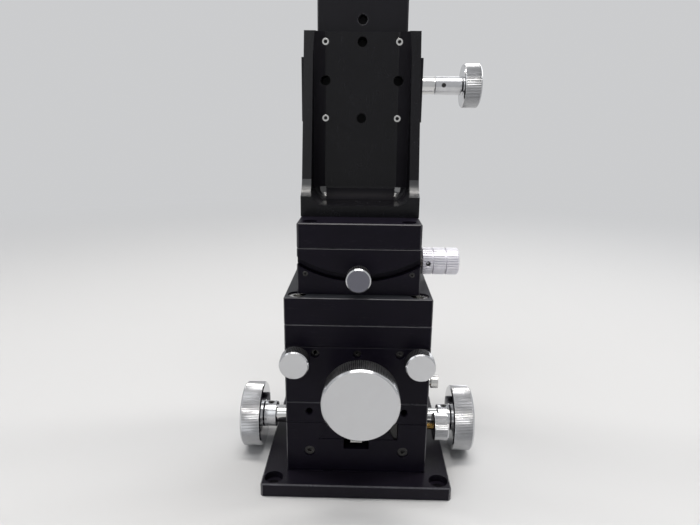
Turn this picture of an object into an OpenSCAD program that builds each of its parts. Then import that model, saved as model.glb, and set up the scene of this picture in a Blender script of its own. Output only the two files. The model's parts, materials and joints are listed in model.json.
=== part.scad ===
// Goniometer stage: two crossed rack-and-pinion slides, a worm-driven tilt cradle,
// and an upright bracket that carries a small vertical slide.
// Millimetres, Z up, front of the instrument towards -Y, origin under the base plate's centre.

/* [Base plate] */
// side of the square base plate
plate_w = 80; // [76:1:100]
// thickness of the base plate
plate_t = 6; // [5.5:0.5:12]
// distance between the table bolt holes
plate_pitch = 70; // [68:1:71]
// bolt hole for M4
bolt_hole_d = 4.5; // [4.2:0.1:5]
// counterbore of the table bolt holes
cbore_d = 8; // [7.4:0.1:8.4]

/* [Cross slides] */
// side of the square slide blocks
block_w = 60; // [58:1:64]
// height of the lower slide body
y_body_h = 23.3; // [22.5:0.1:28]
// height of the upper slide body
x_body_h = 25.2; // [24:0.1:30]
// thickness of the moving tables
table_t = 9.5; // [8.5:0.5:14]
// half width of the dovetail tongue at its neck
neck = 11.8; // [11:0.1:12.5]
// height of the dovetail tongue
tongue_h = 7.3; // [6.8:0.1:7.6]
// depth of the pinion axis under the table seam
pinion_drop = 13.3; // [13:0.1:14]
// travel of each cross slide to either side
slide_travel = 12; // [6:1:13]

/* [Rack drives] */
// gear module of racks and pinions
gear_m = 0.5; // [0.45:0.01:0.5]
// teeth of the cross slide pinions
pinion_n = 14; // [14:1:15]
// upper pinion's distance to the right of the middle, in rack teeth
x_pinion_teeth = 1; // [0:1:2]
// width of the racks
rack_w = 5; // [4:0.5:6]
// diameter of the pinion shafts
shaft_d = 8; // [8:0.1:8.2]
// outer diameter of the shaft bushes
bush_d = 10; // [9.6:0.1:11]
// drive knob diameter of the cross slides
knob_d = 30; // [24:1:31]
// width of these knobs
knob_w = 9.5; // [8:0.5:12]
// hub diameter of these knobs
hub_d = 12; // [11:0.5:14]
// hub length of these knobs
hub_l = 6; // [5:0.5:8]
// free shaft length between block and hub
shaft_free = 8.4; // [6:0.2:12]

/* [Locks] */
// diameter of the cross slide lock knobs
lock_d = 12; // [9:0.5:13]
// width of the lock knobs
lock_w = 6.5; // [4:0.1:7]
// free screw length behind a lock knob
lock_free = 3.6; // [3:0.1:6]
// lock screw diameter
lock_screw_d = 4; // [3:0.5:4]
// distance of the upper slide's lock knobs from the centre
lock_x = 25; // [23:0.5:26]

/* [Tilt cradle] */
// thickness of the adapter plate under the cradle
adapter_t = 11.5; // [10:0.5:16]
// side of the square cradle
cradle_w = 50; // [49:0.5:52]
// height of the tilt axis over the adapter plate
tilt_h = 55; // [54:0.5:58]
// thinnest place of the cradle base
cradle_min = 5.5; // [5:0.1:6]
// height of the sliding saddle's top over the adapter plate
saddle_h = 19.2; // [19:0.1:20]
// thickness of the cradle's top plate
top_t = 10.2; // [8:0.2:14]
// teeth of a full worm wheel
wheel_n = 180; // [180:4:188]
// diameter of the tilt drive knob
drive_d = 12; // [9:0.5:12.5]
// length of the tilt drive knob
drive_l = 15; // [12:0.5:18]

/* [Bracket] */
// depth of the bracket foot
foot_d = 30; // [28:0.5:32]
// height of the bracket
bracket_h = 76.6; // [72:0.2:84]
// thickness of the bracket's upright
upright_t = 6; // [5:0.5:7]
// thickness of the side gussets
gusset_t = 4; // [3.5:0.25:5]
// thickness of the floor between the gussets
floor_t = 4.8; // [4.4:0.2:6]
// side of the square screw pattern
pattern = 32; // [30:0.5:32]
// tapping hole seen as an M4 thread
tap_d = 4.2; // [4:0.1:4.5]

/* [Vertical slide] */
// width of the rail
rail_w = 40; // [40:0.5:44]
// thickness of the rail plate
rail_t = 6; // [5.5:0.5:8]
// length of the rail
rail_l = 100; // [96:1:120]
// width of the vertical carriage
z_body_w = 56; // [54:1:60]
// height of the vertical carriage
z_body_h = 28.5; // [27:0.5:34]
// depth of the vertical carriage
z_body_d = 14.7; // [14:0.1:18]
// teeth of the vertical pinion
z_pinion_n = 10; // [10:1:11]
// diameter of the vertical drive knob
z_knob_d = 20; // [16:0.5:24]
// width of the vertical drive knob
z_knob_w = 8.1; // [5:0.1:9]
// hub length of the vertical drive knob
z_hub_l = 12.9; // [10:0.1:16]

/* [Hidden] */
$fn = 64;

// clearances
fit = 0.03;
run = 0.05;
gap = 0.3;
over = 1;
// dovetail flanks lean 30 degrees from the vertical
flare = tan(30);
half = block_w / 2;
tip_half = neck + tongue_h * flare;
gib_wall = tip_half + 1.6;
gib_out = gib_wall - 0.25;
gib_screw_d = 3;
gib_screw_drop = 3;
gib_back = 1.2;
// levels of the stack
z_y0 = plate_t;
z_y1 = z_y0 + y_body_h;
z_x0 = z_y1 + table_t;
z_x1 = z_x0 + x_body_h;
z_a0 = z_x1 + table_t;
z_c0 = z_a0 + adapter_t;
z_axis = z_c0 + tilt_h;
z_t0 = z_c0 + saddle_h;
z_t1 = z_t0 + top_t;
// gear teeth: thickness at pitch line, tip and root
tooth_p = 1.2 * gear_m;
tooth_t = tooth_p - 0.72 * gear_m;
tooth_r = tooth_p + 0.8 * gear_m;
pitch_p = PI * gear_m;
pin_r = pinion_n * gear_m / 2;
z_pin_r = z_pinion_n * gear_m / 2;
mesh_gap = 0.03;
shaft_r = max(shaft_d / 2, pin_r + gear_m) + 0.03;
bush_l = 8;
bush_r = max(bush_d / 2, shaft_r + 0.8);
x_shaft_off = x_pinion_teeth * pitch_p;
rack_half = half - 2;
rack_teeth = floor((slide_travel + x_shaft_off + 3.6) / pitch_p);
rack_root = -pinion_drop + pin_r + mesh_gap + 1.2 * gear_m;
rack_tip = rack_root - 2.2 * gear_m;
hub_x = half + shaft_free;
knob_x = hub_x + hub_l;
lock_x0 = half + lock_free;
clamp_y = -21;
clamp_drop = 5.8;
clamp_screw_d = 3;
lock_drop = 4;
// tilt cradle
ch = cradle_w / 2;
arc_r = tilt_h - cradle_min;
saddle_r = arc_r - gap;
rail_top_r = arc_r - 5;
roof_r = rail_top_r - gap;
arc_neck = 9;
arc_tip = arc_neck + (arc_r - rail_top_r) * flare;
arc_wall = arc_tip + 2.1;
groove_r = saddle_r - 2.7;
groove_d = 3;
worm_z = z_axis - rail_top_r - 1.9;
worm_r = 2;
worm_shaft_r = 2;
seg_tip = z_axis - worm_z - worm_r - 0.1;
seg_m = 2 * seg_tip / (wheel_n + 2);
seg_half = 2;
seg_deg = 22;
clamp_r = groove_r - 0.5;
tilt_knob_r = 5;
drive_x = ch + 3.3;
stop_r = 1;
stop_deg = 25;
// bracket
y_back = foot_d - 9;
y_up = y_back - upright_t;
foot_y = y_back - foot_d;
z_top = z_t1 + bracket_h;
z_floor = z_t1 + floor_t;
toe_h = 8.2;
edge_y1 = y_up - 3.3;
edge_y0 = foot_y + 6.3;
edge_z0 = z_t1 + toe_h + 6.65;
edge_len = sqrt(pow(edge_y1 - edge_y0, 2) + pow(z_top - edge_z0, 2));
edge_dy = (edge_y1 - edge_y0) / edge_len;
edge_dz = (z_top - edge_z0) / edge_len;
toe_r = 9;
pat_z = z_top - 20;
// vertical slide
rail_z0 = z_t1 + 16.6;
z_seam = y_back + rail_t;
z_neck = 10;
z_tongue = 4.2;
z_tip_half = z_neck + z_tongue * flare;
z_wall = z_tip_half + 1.8;
z_gib_out = z_wall - 0.25;
z_shaft_r = z_pin_r + gear_m + 0.03;
z_pin_y = z_seam + z_tongue + 4.3;
z_pin_z = pat_z - 0.5;
z_car0 = z_pin_z - 17;
z_rack_root = z_pin_y - z_pin_r - mesh_gap - 1.2 * gear_m;
z_rack_tip = z_rack_root + 2.2 * gear_m;
z_bush_r = z_shaft_r + 1;
z_half = z_body_w / 2;
z_hub_x = z_half + 6.3;
z_knob_x = z_hub_x + z_hub_l;
z_knob_grip = 4;
z_shaft_in = 22;
// fasteners: M4 and M3 socket head screws
m4_r = 2;
m4_head_r = 3.5;
m4_head_h = 4;
m3_r = 1.5;
m3_head_r = 2.75;
m3_head_h = 3;

// small shapes
module cx(r, x0, x1, y = 0, z = 0) {
    translate([x0, y, z]) rotate([0, 90, 0]) cylinder(r = r, h = x1 - x0);
}

module cy(r, y0, y1, x = 0, z = 0) {
    translate([x, y1, z]) rotate([90, 0, 0]) cylinder(r = r, h = y1 - y0);
}

module cz(r, z0, z1, x = 0, y = 0) {
    translate([x, y, z0]) cylinder(r = r, h = z1 - z0);
}

module box(x0, x1, y0, y1, z0, z1) {
    translate([x0, y0, z0]) cube([x1 - x0, y1 - y0, z1 - z0]);
}

// square block w by w with chamfers: t top edges, b bottom edges, v upright edges
module block(w, z0, z1, t, b, v) {
    h = w / 2;
    outline = [
        [-h + b, z0], [h - b, z0], [h, z0 + b], [h, z1 - t],
        [h - t, z1], [-h + t, z1], [-h, z1 - t], [-h, z0 + b]
    ];
    intersection() {
        translate([0, h, 0]) rotate([90, 0, 0]) linear_extrude(w) polygon(outline);
        translate([-h, 0, 0]) rotate([90, 0, 90]) linear_extrude(w) polygon(outline);
        translate([0, 0, z0]) linear_extrude(z1 - z0) polygon([
            [-h + v, -h], [h - v, -h], [h, -h + v], [h, h - v],
            [h - v, h], [-h + v, h], [-h, h - v], [-h, -h + v]
        ]);
    }
}

// box with all edges rounded, for pockets cut from the solid
module soft_box(x0, x1, y0, y1, z0, z1, r) {
    box(x0 + r, x1 - r, y0 + r, y1 - r, z0, z1);
    box(x0 + r, x1 - r, y0, y1, z0 + r, z1 - r);
    box(x0, x1, y0 + r, y1 - r, z0 + r, z1 - r);
    for (y = [y0 + r, y1 - r]) {
        for (z = [z0 + r, z1 - r]) {
            cx(r, x0 + r, x1 - r, y, z);
        }
    }
    for (x = [x0 + r, x1 - r]) {
        for (z = [z0 + r, z1 - r]) {
            cy(r, y0 + r, y1 - r, x, z);
        }
        for (y = [y0 + r, y1 - r]) {
            cz(r, z0 + r, z1 - r, x, y);
            translate([x, y, z0 + r]) sphere(r = r);
            translate([x, y, z1 - r]) sphere(r = r);
        }
    }
}

// profile drawn as [y, z], pulled along x from x0 to x1
module pull_x(x0, x1) {
    translate([x0, 0, 0]) rotate([90, 0, 90]) linear_extrude(x1 - x0) children();
}

// profile drawn as [x, z], pulled along y from y0 to y1
module pull_y(y0, y1) {
    translate([0, y1, 0]) rotate([90, 0, 0]) linear_extrude(y1 - y0) children();
}

// teeth
function tooth_at(j, p, t, r) = j == 0 ? -r / 2 : j == 1 ? -p / 2 : j == 2 ? -t / 2
    : j == 3 ? t / 2 : j == 4 ? p / 2 : r / 2;
function rise_at(j, m) = j == 0 || j == 5 ? -1.2 * m : j == 1 || j == 4 ? 0 : m;

function gear_pts(n, rp, turn) = [
    for (k = [0 : n - 1]) for (j = [0 : 5])
    let (r = rp + rise_at(j, gear_m))
    let (a = turn + 360 * k / n + tooth_at(j, tooth_p, tooth_t, tooth_r) / r * 180 / PI)
    [r * cos(a), r * sin(a)]
];

// teeth point down from the pitch line at height 0
function rack_pts(n, top) = concat(
    [for (k = [-n : n]) for (j = [0 : 5])
        [k * pitch_p + tooth_at(j, tooth_p, tooth_t, tooth_r), -rise_at(j, gear_m)]],
    [[n * pitch_p + tooth_r / 2, top], [-n * pitch_p - tooth_r / 2, top]]
);

// turned and bought parts
// knob along +Z: hub first, then the rim with broken edges
module turned_knob(rim_r, rim_w, hub_r, hub_len, bore_r, bore_len) {
    c = 0.5;
    rotate_extrude() polygon([
        [bore_r, 0], [hub_r, 0], [hub_r, hub_len], [rim_r - c, hub_len], [rim_r, hub_len + c],
        [rim_r, hub_len + rim_w - c], [rim_r - c, hub_len + rim_w], [0, hub_len + rim_w],
        [0, bore_len], [bore_r, bore_len]
    ]);
}

// socket head screw along -Z with the head's underside at 0
module cap_screw(r, len, head_r, head_h) {
    difference() {
        union() {
            translate([0, 0, -len]) cylinder(r = r, h = len + 0.5);
            cylinder(r = head_r, h = head_h);
        }
        translate([0, 0, head_h * 0.45]) cylinder(r = r * 0.95, h = head_h, $fn = 6);
    }
}

// set screw along +Z with the socket at its upper end
module set_screw(r, len) {
    difference() {
        cylinder(r = r, h = len);
        translate([0, 0, len - min(1.5, len * 0.5)]) cylinder(r = r * 0.55, h = 3, $fn = 6);
    }
}

// places of four screws on a square
module four(d) {
    for (x = [-d, d]) {
        for (y = [-d, d]) {
            translate([x, y, 0]) children();
        }
    }
}

// one cross slide, travel along Y, gib towards +X, table seam at z = 0
module tongue() {
    pull_y(-half, half) polygon([
        [-neck, over], [neck, over], [neck, 0], [tip_half, -tongue_h],
        [-tip_half, -tongue_h], [-neck, 0]
    ]);
}

module groove_cut() {
    d = tongue_h + gap;
    pull_y(-half - over, half + over) polygon([
        [-neck - run, over], [gib_wall, over], [gib_wall, -d],
        [-neck - d * flare - run, -d], [-neck - run, 0]
    ]);
    box(-rack_w / 2 - 2.9, rack_w / 2 + 2.9, -half - over, half + over, rack_tip - 1.9, -d + 0.5);
}

module shaft_cut() {
    cx(shaft_r + gap, -half - over, half + over, 0, -pinion_drop);
    cx(bush_r + fit, half - bush_l, half + over, 0, -pinion_drop);
    cx(bush_r + fit, -half - over, -half + bush_l, 0, -pinion_drop);
}

module gib_shape() {
    d = tongue_h + gap;
    pull_y(-half + gib_back, half - gib_back) polygon([
        [neck + run + 0.3 * flare, -0.3], [gib_out, -0.3], [gib_out, -d],
        [neck + run + d * flare, -d]
    ]);
}

module gib_screw_cut(ys) {
    for (y = ys) {
        cx(gib_screw_d / 2 + run, gib_wall - 0.5, half + over, y, -gib_screw_drop);
        cx(gib_screw_d / 2 + 0.3, half - 1.2, half + over, y, -gib_screw_drop);
    }
}

module gib_screw_set(ys) {
    for (y = ys) {
        translate([gib_out, y, -gib_screw_drop]) rotate([0, 90, 0])
            set_screw(gib_screw_d / 2, half - 1.5 - gib_out);
    }
}

module bush_pair() {
    for (x = [-half, half - bush_l]) {
        difference() {
            cx(bush_r, x, x + bush_l, 0, -pinion_drop);
            cx(shaft_r + run, x - over, x + bush_l + over, 0, -pinion_drop);
        }
    }
}

module rack_shape() {
    w = rack_w / 2;
    pad0 = slide_travel + x_shaft_off + shaft_r + 0.4;
    difference() {
        union() {
            translate([0, 0, rack_root - 1.2 * gear_m]) pull_x(-w, w)
                polygon(rack_pts(rack_teeth, -tongue_h - rack_root + 1.2 * gear_m));
            box(-w, w, -rack_half, rack_half, rack_root, -tongue_h);
            box(-w, w, pad0, rack_half, rack_tip, -tongue_h);
            box(-w, w, -rack_half, -pad0, rack_tip, -tongue_h);
        }
        for (y = [-rack_half + 4, rack_half - 4]) {
            cz(1 + run, rack_tip - over, 0, 0, y);
            cz(1.9, rack_tip - over, rack_tip + 1.5, 0, y);
        }
    }
}

module rack_screw_pair() {
    for (y = [-rack_half + 4, rack_half - 4]) {
        translate([0, y, rack_tip + 1.5]) rotate([180, 0, 0])
            cap_screw(1, 6, 1.8, 1.3);
    }
}

module rack_screw_cut() {
    for (y = [-rack_half + 4, rack_half - 4]) {
        cz(1 + run, -tongue_h - over, rack_tip + 8, 0, y);
    }
}

module pinion_cut_shaft(x0, x1) {
    w = rack_w / 2 + 1;
    cx(shaft_r, x0, -w, 0, -pinion_drop);
    cx(shaft_r, w, x1, 0, -pinion_drop);
    translate([0, 0, -pinion_drop]) pull_x(-w, w)
        polygon(gear_pts(pinion_n, pin_r, 90 + 180 / pinion_n));
}

module drive_knob_x() {
    difference() {
        translate([hub_x, 0, -pinion_drop]) rotate([0, 90, 0])
            turned_knob(knob_d / 2, knob_w, hub_d / 2, hub_l, shaft_r + fit, hub_l + 5);
        cz(1.5 + fit, -pinion_drop, -pinion_drop + hub_d, hub_x + hub_l / 2, 0);
    }
}

module knob_set_screw_x() {
    translate([hub_x + hub_l / 2, 0, -pinion_drop + shaft_r])
        set_screw(1.5, hub_d / 2 - shaft_r - 0.2);
}

module lock_knob_x(r, y, drop, screw_r) {
    translate([lock_x0, y, -drop]) rotate([0, 90, 0])
        rotate_extrude() polygon([
            [screw_r + fit, 0], [r - 0.4, 0], [r, 0.4], [r, lock_w - 0.4],
            [r - 0.4, lock_w], [0, lock_w], [0, lock_w - 1.5], [screw_r + fit, lock_w - 1.5]
        ]);
}

module lock_screw_x(y, drop, screw_r) {
    cx(screw_r, gib_out + 0.05, lock_x0 + lock_w - 1.5, y, -drop);
}

module lock_cut_x(y, drop, screw_r) {
    cx(screw_r + run, gib_wall - 0.5, half + over, y, -drop);
}

// puts the slide at its place: lower slide as drawn, upper slide turned to travel along X
module at_y() {
    translate([0, 0, z_y1]) children();
}

module at_x() {
    translate([0, 0, z_x1]) rotate([0, 0, -90]) children();
}

module at_x_shaft() {
    at_x() translate([0, x_shaft_off, 0]) children();
}

y_gib_ys = [-9, 6, 21];
x_gib_ys = [-17.5, 0, 17.5];
low_screw_x = 20;
stack_screw = 23;
front_hole_x = 20;

// base plate and lower slide
module base_plate() {
    color([0.09, 0.09, 0.12]) difference() {
        block(plate_w, 0, plate_t, 0.5, 0.3, 1);
        four(plate_pitch / 2) {
            cz(bolt_hole_d / 2, -over, plate_t + over);
            cz(cbore_d / 2, plate_t - 3, plate_t + over);
        }
        four(low_screw_x) {
            cz(m4_r + run, -over, plate_t + over);
            cz(m4_head_r + 0.3, -over, m4_head_h + 0.3);
        }
    }
}

module plate_screws() {
    color([0.6, 0.6, 0.62]) four(low_screw_x) {
        translate([0, 0, m4_head_h + 0.3]) rotate([180, 0, 0])
            cap_screw(m4_r, 8, m4_head_r, m4_head_h);
    }
}

module y_body() {
    color([0.08, 0.08, 0.11]) difference() {
        block(block_w, z_y0, z_y1, 0.3, 0.3, 0.5);
        at_y() {
            groove_cut();
            shaft_cut();
            gib_screw_cut(y_gib_ys);
            lock_cut_x(clamp_y, clamp_drop, clamp_screw_d / 2);
        }
        four(low_screw_x) cz(m4_r + run, z_y0 - over, z_y0 + 8);
        for (x = [-low_screw_x, low_screw_x]) {
            cy(m4_r + run, -half - over, -half + 8, x, z_y1 - pinion_drop - 0.2);
            cy(m4_r + 0.35, -half - over, -half + 0.8, x, z_y1 - pinion_drop - 0.2);
        }
    }
}

module y_gib() {
    color([0.5, 0.5, 0.5]) at_y() gib_shape();
}

module y_gib_screws() {
    color([0.2, 0.2, 0.2]) at_y() gib_screw_set(y_gib_ys);
}

module y_bushes() {
    color([0.7, 0.55, 0.3]) at_y() bush_pair();
}

module y_front_screws() {
    color([0.3, 0.3, 0.32]) for (x = [-low_screw_x, low_screw_x]) {
        translate([x, -half + 6, z_y1 - pinion_drop - 0.2]) rotate([90, 0, 0])
            set_screw(m4_r, 5.4);
    }
}

module y_pinion_shaft() {
    color([0.8, 0.8, 0.8]) at_y() pinion_cut_shaft(-knob_x - 4.6, knob_x + 4.6);
}

module y_knob_right() {
    color([0.9, 0.9, 0.9]) at_y() drive_knob_x();
}

module y_knob_left() {
    color([0.9, 0.9, 0.9]) at_y() rotate([0, 0, 180]) drive_knob_x();
}

module y_knob_set_screws() {
    color([0.2, 0.2, 0.2]) at_y() {
        knob_set_screw_x();
        rotate([0, 0, 180]) knob_set_screw_x();
    }
}

module y_clamp_knob() {
    color([0.85, 0.85, 0.85]) at_y() lock_knob_x(lock_d / 2, clamp_y, clamp_drop, clamp_screw_d / 2);
}

module y_clamp_screw() {
    color([0.8, 0.65, 0.35]) at_y() lock_screw_x(clamp_y, clamp_drop, clamp_screw_d / 2);
}

module y_table() {
    color([0.08, 0.08, 0.11]) difference() {
        union() {
            block(block_w, z_y1, z_x0, 0.3, 0.3, 0.5);
            at_y() tongue();
        }
        at_y() rack_screw_cut();
        for (x = [-front_hole_x, front_hole_x]) {
            cy(m3_r - 0.1, -half - over, -half + 8, x, z_x0 - 4.1);
            cy(m3_r + 0.2, -half - over, -half + 0.4, x, z_x0 - 4.1);
        }
        four(stack_screw) {
            cz(m3_r + run, z_y1 - over, z_x0 + over);
            cz(m3_head_r + 0.25, z_y1 - over, z_y1 + m3_head_h + 0.3);
        }
    }
}

module y_rack() {
    color([0.75, 0.75, 0.75]) at_y() rack_shape();
}

module y_rack_screws() {
    color([0.6, 0.6, 0.62]) at_y() rack_screw_pair();
}

// upper slide
module x_body_screws() {
    color([0.6, 0.6, 0.62]) four(stack_screw) {
        translate([0, 0, z_y1 + m3_head_h + 0.3]) rotate([180, 0, 0])
            cap_screw(m3_r, table_t - m3_head_h + 5, m3_head_r, m3_head_h);
    }
}

module x_body() {
    color([0.08, 0.08, 0.11]) difference() {
        block(block_w, z_x0, z_x1, 0.3, 0.3, 0.5);
        at_x_shaft() shaft_cut();
        at_x() {
            groove_cut();
            gib_screw_cut(x_gib_ys);
            lock_cut_x(lock_x, lock_drop, lock_screw_d / 2);
            lock_cut_x(-lock_x, lock_drop, lock_screw_d / 2);
        }
        four(stack_screw) cz(m3_r + run, z_x0 - over, z_x0 + 6.5);
        cx(m3_r + run, half - 9, half + over, -25, z_x0 + 8.4);
    }
}

module x_side_screw() {
    color([0.6, 0.6, 0.62]) translate([half + 1, -25, z_x0 + 8.4]) rotate([0, 90, 0])
        cap_screw(m3_r, 9, m3_head_r, m3_head_h);
}

module x_gib() {
    color([0.5, 0.5, 0.5]) at_x() gib_shape();
}

module x_gib_screws() {
    color([0.2, 0.2, 0.2]) at_x() gib_screw_set(x_gib_ys);
}

module x_bushes() {
    color([0.7, 0.55, 0.3]) at_x_shaft() bush_pair();
}

module x_pinion_shaft() {
    color([0.8, 0.8, 0.8]) at_x_shaft() pinion_cut_shaft(-half + 0.5, knob_x + 4.6);
}

module x_knob() {
    color([0.9, 0.9, 0.9]) at_x_shaft() drive_knob_x();
}

module x_knob_set_screw() {
    color([0.2, 0.2, 0.2]) at_x_shaft() knob_set_screw_x();
}

module x_lock_knob_left() {
    color([0.85, 0.85, 0.85]) at_x() lock_knob_x(lock_d / 2, -lock_x, lock_drop, lock_screw_d / 2);
}

module x_lock_screw_left() {
    color([0.75, 0.75, 0.75]) at_x() lock_screw_x(-lock_x, lock_drop, lock_screw_d / 2);
}

module x_lock_knob_right() {
    color([0.85, 0.85, 0.85]) at_x() lock_knob_x(lock_d / 2, lock_x, lock_drop, lock_screw_d / 2);
}

module x_lock_screw_right() {
    color([0.75, 0.75, 0.75]) at_x() lock_screw_x(lock_x, lock_drop, lock_screw_d / 2);
}

adapter_screw = 25;
adapter_cbore = 4.6;
cradle_screw = 16;
top_screw = ch - 5;

module x_table() {
    color([0.08, 0.08, 0.11]) difference() {
        union() {
            block(block_w, z_x1, z_a0, 0.3, 0.3, 0.5);
            at_x() tongue();
        }
        at_x() rack_screw_cut();
        four(adapter_screw) cz(m4_r + run, z_x1 + 1, z_a0 + over);
    }
}

module x_rack() {
    color([0.75, 0.75, 0.75]) at_x() rack_shape();
}

module x_rack_screws() {
    color([0.6, 0.6, 0.62]) at_x() rack_screw_pair();
}

module adapter_plate() {
    color([0.08, 0.08, 0.11]) difference() {
        block(block_w, z_a0, z_c0, 0.3, 0.3, 0.5);
        four(adapter_screw) {
            cz(m4_r + run, z_a0 - over, z_c0 + over);
            cz(m4_head_r + 0.25, z_c0 - adapter_cbore, z_c0 + over);
        }
        four(cradle_screw) {
            cz(m3_r + run, z_a0 - over, z_c0 + over);
            cz(m3_head_r + 0.25, z_a0 - over, z_c0 - 5);
        }
    }
}

module adapter_screws() {
    color([0.6, 0.6, 0.62]) four(adapter_screw) {
        translate([0, 0, z_c0 - adapter_cbore])
            cap_screw(m4_r, adapter_t - adapter_cbore + table_t - 2, m4_head_r, m4_head_h);
    }
}

// tilt cradle: everything round turns about the axis along Y at z_axis
// ring with profile [radius, y]; seen from the front it spans deg to either side of straight down
module arc_ring(deg) {
    translate([0, 0, z_axis]) rotate([-90, 0, 0]) rotate([0, 0, 90 - deg])
        rotate_extrude(angle = 2 * deg) children();
}

module cradle_base() {
    color([0.08, 0.08, 0.11]) difference() {
        union() {
            difference() {
                block(cradle_w, z_c0, z_axis - sqrt(arc_r * arc_r - ch * ch) + 2, 0.2, 0.3, 0.5);
                cy(arc_r, -ch - over, ch + over, 0, z_axis);
            }
            intersection() {
                box(-ch, ch, -ch, ch, z_c0 + 1, z_axis);
                arc_ring(40) polygon([
                    [arc_r + 0.8, -flank(arc_r + 0.8)], [rail_top_r, -arc_tip],
                    [rail_top_r, arc_tip], [arc_r + 0.8, flank(arc_r + 0.8)]
                ]);
            }
        }
        box(-14.5, 14.5, -2.8, 2.8, worm_z - worm_r - 0.3, z_axis);
        cx(worm_shaft_r + 0.3, 0, ch + over, 0, worm_z);
        cx(worm_shaft_r + 1.5 + fit, 16, ch + over, 0, worm_z);
        cx(1.5 + run, -20, 0, 0, worm_z);
        four(cradle_screw) cz(m3_r + run, z_c0 - over, z_c0 + 4);
        for (side = [-1, 1]) {
            stop_pin_at(side) cy(stop_r + fit, -ch - over, -ch + 4.2);
        }
    }
}

// place of a stop pin under the arc, side -1 left and 1 right
module stop_pin_at(side) {
    translate([0, 0, z_axis]) rotate([0, -side * stop_deg, 0]) translate([0, 0, -arc_r - 1.5]) children();
}

module tilt_stop_pins() {
    color([0.75, 0.75, 0.78]) for (side = [-1, 1]) {
        stop_pin_at(side) translate([0, -ch + 4, 0]) rotate([90, 0, 0]) set_screw(stop_r, 4.3);
    }
}

module cradle_screws() {
    color([0.6, 0.6, 0.62]) four(cradle_screw) {
        translate([0, 0, z_c0 - 5]) rotate([180, 0, 0])
            cap_screw(m3_r, 8.5, m3_head_r, m3_head_h);
    }
}

module worm_bush() {
    color([0.7, 0.55, 0.3]) difference() {
        cx(worm_shaft_r + 1.5, 16, ch, 0, worm_z);
        cx(worm_shaft_r + run, 16 - over, ch + over, 0, worm_z);
    }
}

module worm_shaft() {
    p = PI * seg_m;
    color([0.75, 0.75, 0.75]) union() {
        translate([0, 0, worm_z]) rotate([0, 90, 0]) rotate_extrude() polygon(concat(
            [[0, -8 * p]],
            [for (k = [-8 : 7]) for (j = [0 : 3])
                [j == 0 || j == 3 ? worm_r - 0.9 : worm_r, (k + j / 4 + 0.1) * p]],
            [[worm_r - 0.9, 8 * p], [0, 8 * p]]
        ));
        cx(worm_r - 0.9, -13, 13, 0, worm_z);
        cx(1.5, -19.7, -12.5, 0, worm_z);
        cx(worm_shaft_r, 12.5, drive_x + 8, 0, worm_z);
    }
}

module drive_knob() {
    r = drive_d / 2;
    l = drive_l;
    color([0.8, 0.8, 0.82]) difference() {
        translate([drive_x, 0, worm_z]) rotate([0, 90, 0]) rotate_extrude() polygon([
            [worm_shaft_r + fit, 0], [r - 0.4, 0], [r, 0.4], [r, l * 0.24], [r - 0.5, l * 0.25],
            [r - 0.5, l * 0.29], [r, l * 0.3], [r, l * 0.66], [r - 0.5, l * 0.67],
            [r - 0.5, l * 0.71], [r, l * 0.72], [r, l - 0.5], [r - 0.5, l], [0, l],
            [0, 8.3], [worm_shaft_r + fit, 8.3]
        ]);
        cy(1 + fit, -r - over, 0, drive_x + 2, worm_z);
    }
}

module drive_knob_set_screw() {
    color([0.2, 0.2, 0.2]) translate([drive_x + 2, -worm_shaft_r, worm_z]) rotate([90, 0, 0])
        set_screw(1, drive_d / 2 - worm_shaft_r - 1.2);
}

function flank(r) = arc_neck + (arc_r - r) * flare;

module tilt_saddle() {
    color([0.08, 0.08, 0.11]) difference() {
        intersection() {
            block(cradle_w, z_c0, z_t0, 0.3, 0, 0.5);
            cy(saddle_r, -ch - over, ch + over, 0, z_axis);
        }
        // dovetail way with the gib's wall in front
        arc_ring(45) polygon([
            [roof_r, -arc_wall], [roof_r, flank(roof_r) + run],
            [saddle_r + 1, flank(saddle_r + 1) + run], [saddle_r + 1, -arc_wall]
        ]);
        // shadow grooves along the lower edges
        arc_ring(45) polygon([
            [groove_r, -ch - over], [groove_r, -ch + groove_d],
            [saddle_r + 1, -ch + groove_d], [saddle_r + 1, -ch - over]
        ]);
        // seat of the worm wheel segment
        arc_ring(seg_deg) polygon([
            [seg_tip - 2.6, -seg_half - fit], [seg_tip - 2.6, seg_half + fit],
            [roof_r + 0.5, seg_half + fit], [roof_r + 0.5, -seg_half - fit]
        ]);
        cy(clamp_screw_d / 2 + run, -ch - over, -arc_wall + 1, 0, z_axis - clamp_r);
        four(top_screw) cz(m3_r + run, z_t0 - 5, z_t0 + over);
    }
}

function seg_pts(n) = concat(
    [for (k = [-n : n]) for (j = [0 : 5])
        let (r = seg_tip - seg_m + rise_at(j, seg_m))
        let (a = -90 + 360 * k / wheel_n
            + tooth_at(j, 1.2 * seg_m, 0.5 * seg_m, 2 * seg_m) / r * 180 / PI)
        [r * cos(a), r * sin(a)]],
    [for (i = [0 : 12])
        let (a = -90 + 360 * (n + 0.35) / wheel_n * (1 - i / 6))
        [(seg_tip - 2.55) * cos(a), (seg_tip - 2.55) * sin(a)]]
);

module tilt_segment() {
    n = floor((seg_deg - 1) * wheel_n / 360);
    color([0.7, 0.6, 0.35]) translate([0, 0, z_axis])
        pull_y(-seg_half, seg_half) polygon(seg_pts(n));
}

module tilt_gib() {
    r0 = roof_r + 0.02;
    r1 = saddle_r - 0.3;
    color([0.5, 0.5, 0.5]) arc_ring(28) polygon([
        [r0, -arc_wall + 0.25], [r0, -flank(r0) - run], [r1, -flank(r1) - run],
        [r1, -arc_wall + 0.25]
    ]);
}

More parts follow.
